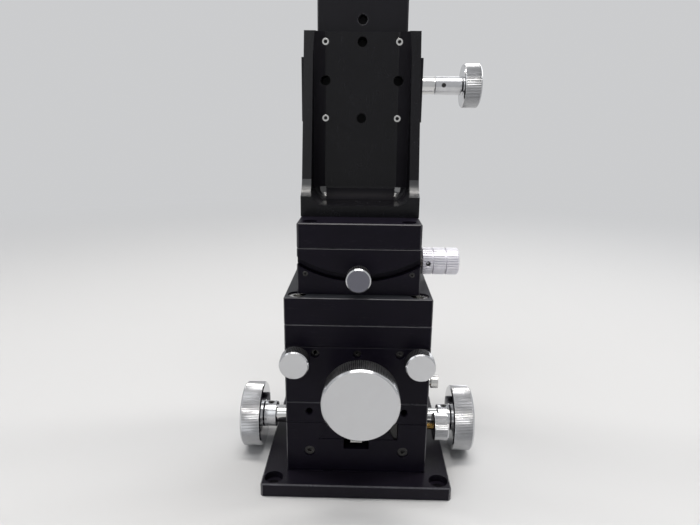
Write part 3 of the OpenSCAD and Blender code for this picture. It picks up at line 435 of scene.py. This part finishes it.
def bright_metal_group():
    # tool lines, a haze from handling, and painted shade in the valleys of a knurl, where a piece's
    # valley attribute says so
    g, given, result, place = surface_group("bright_metal", (
        ("Base", "NodeSocketColor", (0.7, 0.7, 0.7, 1)),
        ("Rough", "NodeSocketFloat", 0.25),
        ("Streak", "NodeSocketVector", (1, 1, 1)),
        ("Scale", "NodeSocketFloat", 1500.0),
        ("Haze", "NodeSocketFloat", 1.0),
    ))
    way = node_in(g, "ShaderNodeVectorMath", operation="MULTIPLY")
    g.links.new(place.outputs["Object"], way.inputs[0])
    g.links.new(given.outputs["Streak"], way.inputs[1])
    lines = node_in(g, "ShaderNodeTexNoise", "tool lines")
    lines.inputs["Detail"].default_value = 3.0
    g.links.new(way.outputs[0], lines.inputs["Vector"])
    g.links.new(given.outputs["Scale"], lines.inputs["Scale"])
    haze = node_in(g, "ShaderNodeTexNoise", "handling haze")
    haze.inputs["Scale"].default_value = 190.0
    haze.inputs["Detail"].default_value = 5.0
    g.links.new(place.outputs["Object"], haze.inputs["Vector"])
    even = node_in(g, "ShaderNodeMath", operation="SUBTRACT")
    g.links.new(haze.outputs["Fac"], even.inputs[0])
    even.inputs[1].default_value = 0.5
    swing = node_in(g, "ShaderNodeMath", operation="MULTIPLY")
    g.links.new(even.outputs[0], swing.inputs[0])
    g.links.new(given.outputs["Haze"], swing.inputs[1])
    tone = node_in(g, "ShaderNodeMath", operation="MULTIPLY_ADD")
    g.links.new(swing.outputs[0], tone.inputs[0])
    tone.inputs[1].default_value = -0.35
    tone.inputs[2].default_value = 0.95
    # painted shade: the valleys of a knurl are given a darker colour and a rougher surface
    valley_shade = node_in(g, "ShaderNodeAttribute", "knurl grooves", attribute_name="valley_shade")
    valley_darkening = node_in(g, "ShaderNodeMath", operation="MULTIPLY_ADD")
    g.links.new(valley_shade.outputs["Fac"], valley_darkening.inputs[0])
    valley_darkening.inputs[1].default_value = -0.72
    valley_darkening.inputs[2].default_value = 1.0
    shade = node_in(g, "ShaderNodeMath", operation="MULTIPLY")
    g.links.new(tone.outputs[0], shade.inputs[0])
    g.links.new(valley_darkening.outputs[0], shade.inputs[1])
    hue = node_in(g, "ShaderNodeVectorMath", operation="SCALE")
    g.links.new(given.outputs["Base"], hue.inputs[0])
    g.links.new(shade.outputs[0], hue.inputs["Scale"])
    g.links.new(hue.outputs[0], result.inputs["Color"])
    hazed = node_in(g, "ShaderNodeMath", operation="MULTIPLY_ADD")
    g.links.new(swing.outputs[0], hazed.inputs[0])
    hazed.inputs[1].default_value = 0.2
    g.links.new(given.outputs["Rough"], hazed.inputs[2])
    dulled = node_in(g, "ShaderNodeMath", operation="MULTIPLY_ADD", use_clamp=True)
    g.links.new(valley_shade.outputs["Fac"], dulled.inputs[0])
    dulled.inputs[1].default_value = 0.2
    g.links.new(hazed.outputs[0], dulled.inputs[2])
    g.links.new(dulled.outputs[0], result.inputs["Roughness"])
    g.links.new(lines.outputs["Fac"], result.inputs["Height"])
    return g


BRIGHT = bright_metal_group()


def metal_finish(name, base, rough, streak=(1, 1, 1), scale=1500.0, bump=0.06, haze=1.0):
    values = {"Base": (*base, 1), "Rough": rough, "Streak": streak, "Scale": scale, "Haze": haze}
    m, s = surface_material(name, BRIGHT, values, bump, METAL_RELIEF)
    s.inputs["Metallic"].default_value = 1.0
    return m


stainless = metal_finish("tumbled_stainless", (0.62, 0.615, 0.60), 0.24)
for screws in ("plate_screws", "x_body_screws", "x_side_screw", "adapter_screws", "cradle_screws",
               "bracket_screws", "y_rack_screws", "x_rack_screws"):
    broken_edges(screws, SCREW_EDGE, (stainless,), angle=40)
socket_painted_shade = metal_finish("socket_shadow", (0.03, 0.03, 0.032), 0.5)
tips = broken_edges("z_rail_screws", SCREW_EDGE, (stainless,), angle=40)
tips.data.materials.append(socket_painted_shade)
# painted shade: the faces inside the sockets of the rail screws' tips get a near-black material
low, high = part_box("z_rail_screws")
for polygon in tips.data.polygons:
    at = polygon.center
    off_x = abs(at.x - (low[0] + high[0]) / 2) - RAIL_SCREW_HALF
    off_z = abs(at.z - (low[2] + high[2]) / 2) - RAIL_SCREW_HALF
    if math.hypot(off_x, off_z) < SOCKET_REACH and SOCKET_FROM < at.y - low[1] < SOCKET_TO:
        polygon.material_index = 1

# Slide blocks
# Bodies and tables of the two crossed slides: milled bars with ground dovetails, dyed black in
# one bath, so the seams between body and table hardly show. Only the broken edges catch light;
# they are also painted lighter, part wear and part painted highlight.
BLOCK_EDGE, ADAPTER_EDGE = 0.00012, 0.00014
LIT_LEDGE_SLOT = 2
LEDGE_UP, LEDGE_NEAR = 0.99, 0.0001
block_black = black_finish("block_black", (0.0044, 0.0032, 0.0080), 0.5, 0.35, 0.34, (0.15, 1, 1),
                           gloss=0.12)
seam_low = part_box("y_body")[1][2]
seam_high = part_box("x_body")[1][2]
for block, seam in (("y_body", seam_low), ("y_table", seam_low), ("x_body", seam_high),
                    ("x_table", seam_high)):
    broken_edges(block, BLOCK_EDGE, block_black, sides=2, quiet=seam)
# the adapter plate's ledge is milled coarser than its sides, so it is rougher and glossier, and its
# top faces are painted lighter as painted light from above
adapter = broken_edges("adapter_plate", ADAPTER_EDGE, block_black, sides=2)
adapter.data.materials.append(dyed_material("ledge_painted_light", (0.013, 0.0142, 0.019), 0.0, 0.5, 0.44,
                                            (0.3, 1, 1), 0.12, DYE_WEAR_AND_SHEEN, 0.45))
ledge_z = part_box("adapter_plate")[1][2]
for polygon in adapter.data.polygons:
    if polygon.normal.z > LEDGE_UP and abs(polygon.center.z - ledge_z) < LEDGE_NEAR:
        polygon.material_index = LIT_LEDGE_SLOT

# Gibs, racks and shafts
# Ground steel bars, shafts and strips that work inside the slides, and the bronze they run in.
# The cross slides' own gib strips are oiled black and come with the set screws.
ground_along_y = metal_finish("ground_steel_y", (0.52, 0.515, 0.51), 0.26, (1, 0.05, 1), 2600.0)
ground_along_x = metal_finish("ground_steel_x", (0.52, 0.515, 0.51), 0.26, (0.05, 1, 1), 2600.0)
ground_along_z = metal_finish("ground_steel_z", (0.52, 0.515, 0.51), 0.26, (1, 1, 0.05), 2600.0)


def in_finish(node, material):
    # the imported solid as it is, in a finish of its own
    solid = frame["nodes"][node]
    solid.data.materials.clear()
    solid.data.materials.append(material)


for node, steel in (
    ("y_rack", ground_along_y), ("x_rack", ground_along_x), ("tilt_gib", ground_along_x),
    ("z_rack", ground_along_z), ("z_gib", ground_along_z), ("worm_shaft", ground_along_y),
):
    in_finish(node, steel)

polished_rod = metal_finish("polished_rod", (0.66, 0.66, 0.655), 0.12, (1, 1, 1), 3000.0, 0.03)
for node in ("y_pinion_shaft", "x_pinion_shaft", "z_pinion_shaft", "z_bush"):
    in_finish(node, polished_rod)

bronze = metal_finish("oiled_bronze", (0.46, 0.31, 0.14), 0.3)
for node in ("y_bushes", "x_bushes", "worm_bush", "tilt_segment"):
    in_finish(node, bronze)

# Black set screws
# Hexagon socket set screws, the cradle's two stop pins and the top plate's screws, black oxide
# with a trace of oil, and the cross slides' oiled gib strips. They sit just under or just proud of
# the faces and only their rims glint; the rims are painted lighter, part wear and part painted
# highlight.
SET_SCREW_EDGE = 0.00008
oxide = black_finish("black_oxide", (0.014, 0.013, 0.013), 0.7, 0.2, 0.26, (1, 1, 1), 0.05,
                     (0.2, 0.19, 0.18), 0.4)
for node in (
    "y_gib", "x_gib", "y_gib_screws", "x_gib_screws", "y_front_screws", "y_knob_set_screws",
    "x_knob_set_screw", "drive_knob_set_screw", "z_gib_screws", "z_knob_set_screw",
    "tilt_top_screws", "tilt_stop_pins",
):
    broken_edges(node, SET_SCREW_EDGE, oxide, angle=40)

# Drive knobs of the slides
# Turned brass blanks, straight knurled on the rim, faced flat and nickel-chrome plated. The hub
# behind the rim is bored for the shaft and takes a set screw.
LEFT, RIGHT, FRONT = (-1, 0, 0), (1, 0, 0), (0, -1, 0)
CHROME = (0.60, 0.605, 0.62)
HUB_R, HUB_L = 0.006, 0.006
HUB_ROUND, HUB_FLARE = 0.0003, 0.0004
KNURL_BITE, KNURL_COUNT = 0.00026, 256
KNURLED = (6, 7)
LAND, LAND_IN = 0.0007, 0.0002
SHOULDER, END_BEVEL, DISH = 0.0007, 0.0009, 0.55
FACE_ROUND, FACE_DIP, FACE_CORE = 0.0008, 0.00002, 0.06
LATHE_RELIEF = 0.00003
SET_HOLE_R, SET_HOLE_DEEP = 0.00153, 0.0021
SAME_PLACE = 0.000001
FACES_ON = 0.985


def turned(name, foot, axis, profile, count, bite=0.0, bites=()):
    """A turned piece: foot is the point on its axis where the profile starts, axis its direction.
    profile is [(radius, height)...] from the axis out and back to it. On the rings listed in bites
    every other vertex is pressed in by bite, which cuts a straight knurl between them."""
    bpy.ops.mesh.primitive_circle_add(vertices=count, radius=profile[0][0], fill_type="NGON")
    piece = bpy.context.object
    piece.name = name
    bpy.ops.object.mode_set(mode="EDIT")
    bpy.ops.mesh.select_mode(type="EDGE")
    bpy.ops.mesh.select_all(action="SELECT")
    bpy.ops.transform.translate(value=(0, 0, profile[0][1]))
    bpy.ops.mesh.select_mode(type="FACE")
    for (r0, z0), (r1, z1) in zip(profile, profile[1:]):
        bpy.ops.mesh.extrude_region_move(TRANSFORM_OT_translate={"value": (0, 0, z1 - z0)})
        bpy.ops.transform.resize(value=(r1 / r0, r1 / r0, 1), center_override=(0, 0, 0))
    bpy.ops.object.mode_set(mode="OBJECT")
    mesh = piece.data
    if bites:
        bpy.ops.object.mode_set(mode="EDIT")
        bpy.ops.mesh.select_all(action="DESELECT")
        bpy.ops.mesh.select_mode(type="VERT")
        bpy.ops.object.mode_set(mode="OBJECT")
        for v in mesh.vertices:
            k = round(math.atan2(v.co.y, v.co.x) / (2 * math.pi) * count)
            reach = math.hypot(v.co.x, v.co.y)
            ring = any(abs(v.co.z - profile[i][1]) < SAME_PLACE
                       and abs(reach - profile[i][0]) < SAME_PLACE for i in bites)
            v.select = ring and k % 2 == 1
        # the pressed-in vertices are marked so that their material paints shade in the knurl's
        # valleys
        valley_shade = mesh.attributes.new("valley_shade", "FLOAT", "POINT")
        for v in mesh.vertices:
            valley_shade.data[v.index].value = 1.0 if v.select else 0.0
        bpy.ops.object.mode_set(mode="EDIT")
        press = (profile[bites[0]][0] - bite) / profile[bites[0]][0]
        bpy.ops.transform.resize(value=(press, press, 1), center_override=(0, 0, 0))
        bpy.ops.object.mode_set(mode="OBJECT")
    only(piece)
    bpy.ops.object.mode_set(mode="EDIT")
    bpy.ops.mesh.select_all(action="SELECT")
    bpy.ops.mesh.normals_make_consistent(inside=False)
    bpy.ops.object.mode_set(mode="OBJECT")
    piece.rotation_euler = Vector(axis).to_track_quat("Z", "Y").to_euler()
    piece.location = foot
    bpy.ops.object.transform_apply(location=True, rotation=True, scale=True)
    return piece


def finish_turned(piece, material, body, node, angle=28):
    piece.data.materials.clear()
    piece.data.materials.append(material)
    only(piece)
    bpy.ops.object.shade_smooth_by_angle(angle=math.radians(angle))
    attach(piece, body)
    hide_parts(node)


def turning_marks(material, centre, axis, strength):
    # rings left by the lathe: fine noise on the distance from the knob's axis
    t = material.node_tree
    place = node_in(t, "ShaderNodeTexCoord")
    shift = node_in(t, "ShaderNodeVectorMath", operation="SUBTRACT")
    shift.inputs[1].default_value = centre
    t.links.new(place.outputs["Object"], shift.inputs[0])
    flat = node_in(t, "ShaderNodeVectorMath", operation="MULTIPLY")
    flat.inputs[1].default_value = [0.0 if abs(a) > 0.5 else 1.0 for a in axis]
    t.links.new(shift.outputs[0], flat.inputs[0])
    reach = node_in(t, "ShaderNodeVectorMath", operation="LENGTH")
    t.links.new(flat.outputs[0], reach.inputs[0])
    rings = node_in(t, "ShaderNodeTexNoise", "lathe rings", noise_dimensions="1D")
    rings.inputs["Scale"].default_value = 5200.0
    rings.inputs["Detail"].default_value = 3.0
    t.links.new(reach.outputs["Value"], rings.inputs["W"])
    old = [n for n in t.nodes if n.bl_idname == "ShaderNodeBump"][0]
    b = node_in(t, "ShaderNodeBump")
    b.inputs["Strength"].default_value = strength
    b.inputs["Distance"].default_value = LATHE_RELIEF
    t.links.new(rings.outputs["Fac"], b.inputs["Height"])
    t.links.new(old.outputs["Normal"], b.inputs["Normal"])
    t.links.new(b.outputs["Normal"], t.nodes["Principled BSDF"].inputs["Normal"])
    return material


def seat(node, axis):
    # foot, length and radius of a turned node of the frame whose axis runs along axis
    low, high = (Vector(corner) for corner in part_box(node))
    way = Vector(axis)
    reach = (high - low) / 2
    along = abs(reach.dot(way))
    across = max(c for c, w in zip(reach, way) if abs(w) < 0.5)
    return (low + high) / 2 - way * along, 2 * along, across


def drilled(piece, mouth, way, radius, depth):
    # a round hole from mouth into the piece
    bpy.ops.object.select_all(action="DESELECT")
    bpy.ops.mesh.primitive_cylinder_add(vertices=28, radius=radius, depth=2 * depth, location=mouth,
                                        rotation=Vector(way).to_track_quat("Z", "Y").to_euler())
    drill = bpy.context.object
    only(piece)
    cut = piece.modifiers.new("set_screw_hole", "BOOLEAN")
    cut.operation = "DIFFERENCE"
    cut.solver = "EXACT"
    cut.object = drill
    bpy.ops.object.modifier_apply(modifier="set_screw_hole")
    bpy.data.objects.remove(drill)


def plate_over(piece, name, foot, axis, body, node, rim_rough, face_base, face_rough, marks):
    # the knurled rim scatters light, the faced end is nearly a mirror with faint lathe rings
    rim = metal_finish(name + "_rim", CHROME, rim_rough, (1, 1, 1), 900.0, 0.04)
    face = metal_finish(name + "_face", face_base, face_rough, (1, 1, 1), 500.0, 0.015, 0.2)
    finish_turned(piece, rim, body, node)
    piece.data.materials.append(turning_marks(face, foot, axis, marks))
    for polygon in piece.data.polygons:
        if abs(polygon.normal.dot(Vector(axis))) > FACES_ON:
            polygon.material_index = 1


def knob_profile(hub_r, hub_l, rim_r, length, shoulder, bevel, dish):
    # from the hub's foot out to the knurled rim and in over the faced end, which dips a hair
    return [
        (hub_r - HUB_ROUND, 0.0), (hub_r, HUB_ROUND), (hub_r, hub_l - HUB_FLARE),
        (hub_r + HUB_FLARE, hub_l), (rim_r - shoulder, hub_l),
        (rim_r - LAND_IN, hub_l + LAND - LAND_IN), (rim_r, hub_l + LAND),
        (rim_r, length - bevel), (rim_r - LAND_IN, length - bevel + LAND_IN),
        (rim_r - FACE_ROUND, length), (rim_r * dish, length - FACE_DIP),
        (rim_r * FACE_CORE, length - 2 * FACE_DIP),
    ]


def slide_knob(name, axis, node, body):
    foot, length, rim_r = seat(node, axis)
    profile = knob_profile(HUB_R, HUB_L, rim_r, length, SHOULDER, END_BEVEL, DISH)
    piece = turned(name, foot, axis, profile, KNURL_COUNT, KNURL_BITE, KNURLED)
    mouth = foot + Vector(axis) * HUB_L / 2 + Vector((0, 0, HUB_R))
    drilled(piece, mouth, (0, 0, 1), SET_HOLE_R, SET_HOLE_DEEP)
    plate_over(piece, name, foot, axis, body, node, 0.2, CHROME, 0.07, 0.05)


slide_knob("left_knob", LEFT, "y_knob_left", "y_pinion")
slide_knob("right_knob", RIGHT, "y_knob_right", "y_pinion")
slide_knob("front_knob", FRONT, "x_knob", "x_pinion")

# Lock knobs
# Small knurled caps pressed on lock screws. The three 12 mm ones lock the slides and the 10 mm
# one the cradle; they are plated like the drive knobs, and the cradle's has a darker, worn face.
WORN = (0.17, 0.17, 0.20)
CAP_ROUND, CAP_LAND, CAP_LAND_IN = 0.0006, 0.0005, 0.0001
CAP_DISH = 0.5
CAP_COUNT, SMALL_CAP_COUNT = 112, 88
CAP_KNURLED = (2, 3)


def lock_knob(name, axis, node, body, count, face_base=CHROME, face_rough=0.09, marks=0.08):
    foot, width, radius = seat(node, axis)
    profile = [
        (radius - CAP_ROUND, 0.0), (radius - CAP_LAND_IN, CAP_LAND), (radius, LAND),
        (radius, width - LAND), (radius - CAP_LAND_IN, width - CAP_LAND),
        (radius - CAP_ROUND, width), (radius * CAP_DISH, width - FACE_DIP),
        (radius * FACE_CORE, width - 2 * FACE_DIP),
    ]
    piece = turned(name, foot, axis, profile, count, KNURL_BITE, CAP_KNURLED)
    plate_over(piece, name, foot, axis, body, node, 0.18, face_base, face_rough, marks)


lock_knob("lower_lock_knob", RIGHT, "y_clamp_knob", "y_clamp", CAP_COUNT)
lock_knob("left_lock_knob", FRONT, "x_lock_knob_left", "x_lock_left", CAP_COUNT)
lock_knob("right_lock_knob", FRONT, "x_lock_knob_right", "x_lock_right", CAP_COUNT)
lock_knob("cradle_lock_knob", FRONT, "tilt_clamp_knob", "tilt_clamp", SMALL_CAP_COUNT, WORN,
          0.2, 0.3)

# Lock screws
# Short threaded rods between the caps and the blocks, steel for the upper slide and the cradle,
# brass for the lower slide. The thread shows for a few turns.
ROD_LEAD, ROD_ROUND = 0.0002, 0.0001
ROD_SIDES = 40
ROD_CORE, ROD_START, ROD_END = 0.5, 0.82, 0.8
THREAD_ROOT, CREST_FROM, CREST_TO = 0.84, 0.42, 0.56
COARSE, FINE = 0.0007, 0.0005


def threaded_rod(name, axis, pitch, node, body, material):
    start, length, radius = seat(node, axis)
    profile = [(radius * ROD_CORE, 0.0), (radius * ROD_START, ROD_ROUND)]
    turns = int((length - 2 * ROD_LEAD) / pitch)
    for k in range(turns):
        z = ROD_LEAD + k * pitch
        profile += [(radius * THREAD_ROOT, z), (radius, z + pitch * CREST_FROM),
                    (radius, z + pitch * CREST_TO)]
    profile += [(radius * THREAD_ROOT, ROD_LEAD + turns * pitch),
                (radius * ROD_END, length - ROD_ROUND), (radius * ROD_CORE, length)]
    piece = turned(name, start, axis, profile, ROD_SIDES)
    finish_turned(piece, material, body, node, angle=50)


rod_steel = metal_finish("rod_steel", (0.6, 0.6, 0.59), 0.2)
rod_brass = metal_finish("rod_brass", (0.72, 0.53, 0.24), 0.18)
for name, axis, pitch, node, body, metal, slot in (
    ("left_lock_rod", FRONT, COARSE, "x_lock_screw_left", "x_lock_left", rod_steel, "screw_steel"),
    ("right_lock_rod", FRONT, COARSE, "x_lock_screw_right", "x_lock_right", rod_steel, "screw_steel"),
    ("lower_lock_rod", RIGHT, FINE, "y_clamp_screw", "y_clamp", rod_brass, "brass"),
    ("cradle_lock_rod", FRONT, FINE, "tilt_clamp_screw", "tilt_clamp", rod_steel, "screw_steel"),
):
    threaded_rod(name, axis, pitch, node, body, metal)

# Tilt cradle
# The curved base and the saddle that slides round on it, with the shadow groove between them, and
# the flat top plate. All are dyed black like the slides.
CRADLE_EDGE = 0.00015
cradle_black = black_finish("cradle_black", (0.0050, 0.0038, 0.0085), 0.35, 0.4, 0.34, (0.3, 1, 1),
                            gloss=0.12)
for block in ("cradle_base", "tilt_saddle", "tilt_top"):
    broken_edges(block, CRADLE_EDGE, cradle_black, sides=2)

# Tilt drive knob
# A long fluted sleeve of clear anodised aluminium on the worm shaft: straight flutes, two
# rings turned through them, and a small set screw hole next to the block.
SLEEVE_IN, SLEEVE_OUT = 0.0008, 0.0006
FLUTES, FLUTE_PRESS = 32, 0.925
RINGS_AT = (0.298, 0.645)
RING_HALF, RING_EDGE, RING_DEEP = 0.0002, 0.0004, 0.0008
END_IN, END_OUT = 0.0005, 0.0006
SLEEVE_DISH, SLEEVE_CORE = 0.5, 0.08
KEY_HOLE_AT, KEY_HOLE_R, KEY_HOLE_DEEP = 0.0028, 0.00105, 0.002
solid_foot, solid_l, sleeve_r = seat("drive_knob", RIGHT)
# the photograph shows it a little further in and out than the solid
sleeve_foot = solid_foot - Vector((SLEEVE_IN, 0, 0))
sleeve_l = solid_l + SLEEVE_IN + SLEEVE_OUT
profile = [(sleeve_r - END_IN, 0.0), (sleeve_r, END_IN)]
for at in RINGS_AT:
    z = sleeve_l * at
    profile += [(sleeve_r, z - RING_EDGE), (sleeve_r - RING_DEEP, z - RING_HALF),
                (sleeve_r - RING_DEEP, z + RING_HALF), (sleeve_r, z + RING_EDGE)]
profile += [(sleeve_r, sleeve_l - END_OUT), (sleeve_r - END_OUT, sleeve_l),
            (sleeve_r * SLEEVE_DISH, sleeve_l - FACE_DIP),
            (sleeve_r * SLEEVE_CORE, sleeve_l - 2 * FACE_DIP)]
sleeve = turned("fluted_sleeve", (0, 0, 0), (0, 0, 1), profile, 4 * FLUTES)
only(sleeve)
bpy.ops.object.mode_set(mode="EDIT")
bpy.ops.mesh.select_mode(type="VERT")
bpy.ops.mesh.select_all(action="DESELECT")
bpy.ops.object.mode_set(mode="OBJECT")
for v in sleeve.data.vertices:
    k = round(math.atan2(v.co.y, v.co.x) / (2 * math.pi) * 4 * FLUTES)
    v.select = k % 4 == 0 and abs(math.hypot(v.co.x, v.co.y) - sleeve_r) < SAME_PLACE
bpy.ops.object.mode_set(mode="EDIT")
bpy.ops.transform.resize(value=(FLUTE_PRESS, FLUTE_PRESS, 1), center_override=(0, 0, 0))
bpy.ops.object.mode_set(mode="OBJECT")
sleeve.rotation_euler = (0, math.radians(90), 0)
sleeve.location = sleeve_foot
bpy.ops.object.transform_apply(location=True, rotation=True, scale=True)
drilled(sleeve, sleeve_foot + Vector((KEY_HOLE_AT, -sleeve_r, 0)), FRONT, KEY_HOLE_R, KEY_HOLE_DEEP)
satin = metal_finish("satin_clear_anodised", (0.81, 0.80, 0.845), 0.46, (0.1, 1, 1), 2200.0, 0.08)
finish_turned(sleeve, satin, "worm", "drive_knob", angle=20)

# Bracket
# The gusseted upright, milled from one bar, with round pocket corners, blasted and dyed. It is a
# shade greyer than the slides. Its front edges slope, so they catch the tubes overhead.
BRACKET_EDGE = 0.0002
WALL_INSIDE_X = 0.0211
TOE_H, FLOOR_Y = 0.02, 0.012
FLAT, SLIGHT, SLANTED = 0.985, 0.05, 0.12
FILLET_PAINTED_LIGHT, CORNER_PAINTED_GLINT, TOE_PAINTED_SHEEN = 2, 3, 4
bracket_black = black_finish("bracket_black", (0.0050, 0.0047, 0.0064), 0.35, 0.25, 0.17,
                             (1, 1, 0.15), 0.08, gloss=0.24)
bracket = broken_edges("bracket", BRACKET_EDGE, bracket_black, segments=3, angle=30)
# painted light: the straight fillets, the round pocket corners and the gussets' toes get copies of
# the dye in lighter colours; the fillets are also rougher and duller, the corners and toes smoother
# and glossier, so the corners carry a painted glint and the toes a painted sheen
for name, base, scuff, rough, bump, gloss in (
    ("bracket_fillet_painted_light", (0.0115, 0.0108, 0.0135), 0.1, 0.42, 0.05, 0.05),
    ("bracket_corner_painted_glint", (0.012, 0.012, 0.014), 0.1, 0.03, 0.02, 1.0),
    ("bracket_toe_painted_sheen", (0.016, 0.017, 0.020), 0.2, 0.24, 0.06, 0.8),
):
    bracket.data.materials.append(dyed_material(name, base, 0.0, scuff, rough, (1, 1, 0.15), bump,
                                                DYE_WEAR_AND_SHEEN, gloss))
low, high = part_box("bracket")
for polygon in bracket.data.polygons:
    at, n = polygon.center, polygon.normal
    if polygon.material_index or max(abs(c) for c in n) > FLAT:
        continue
    if abs(at.x) > WALL_INSIDE_X:
        on_wall_edge = abs(n.x) < SLIGHT and n.y < -SLIGHT and n.z > SLIGHT
        if on_wall_edge and at.z < low[2] + TOE_H:
            polygon.material_index = TOE_PAINTED_SHEEN
    elif abs(n.x) > SLANTED and n.z > SLANTED and n.y < -SLANTED:
        polygon.material_index = CORNER_PAINTED_GLINT
    elif at.y > low[1] + FLOOR_Y or abs(n.z) < SLIGHT:
        polygon.material_index = FILLET_PAINTED_LIGHT

# Vertical slide
# A dovetail rail screwed flat on the bracket's back and a small carriage that runs on its tongue,
# both dyed black, and the carriage's plated knob on a long hub.
RAIL_EDGE, CARRIAGE_EDGE = 0.00025, 0.0002
RAIL_HUB_R, RAIL_HUB_L = 0.00415, 0.0129
RAIL_SHOULDER, RAIL_END_BEVEL, RAIL_DISH = 0.0006, 0.0007, 0.5
RAIL_KNURL_COUNT = 176
RAIL_HOLE_AT, RAIL_HOLE_R, RAIL_HOLE_DEEP = 0.004, 0.00103, 0.0011
rail_black = black_finish("rail_black", (0.0075, 0.0070, 0.0098), 0.5, 0.3, 0.32, (1, 1, 0.1))
broken_edges("z_rail", RAIL_EDGE, rail_black, segments=3)
broken_edges("z_carriage", CARRIAGE_EDGE, rail_black)
foot, length, rim_r = seat("z_knob", RIGHT)
profile = knob_profile(RAIL_HUB_R, RAIL_HUB_L, rim_r, length, RAIL_SHOULDER, RAIL_END_BEVEL,
                       RAIL_DISH)
rail_knob = turned("rail_knob", foot, RIGHT, profile, RAIL_KNURL_COUNT, KNURL_BITE, KNURLED)
mouth = foot + Vector((RAIL_HOLE_AT, -RAIL_HUB_R, 0))
drilled(rail_knob, mouth, FRONT, RAIL_HOLE_R, RAIL_HOLE_DEEP)
plate_over(rail_knob, "rail_knob", foot, RIGHT, "z_pinion", "z_knob", 0.2, CHROME, 0.08, 0.05)
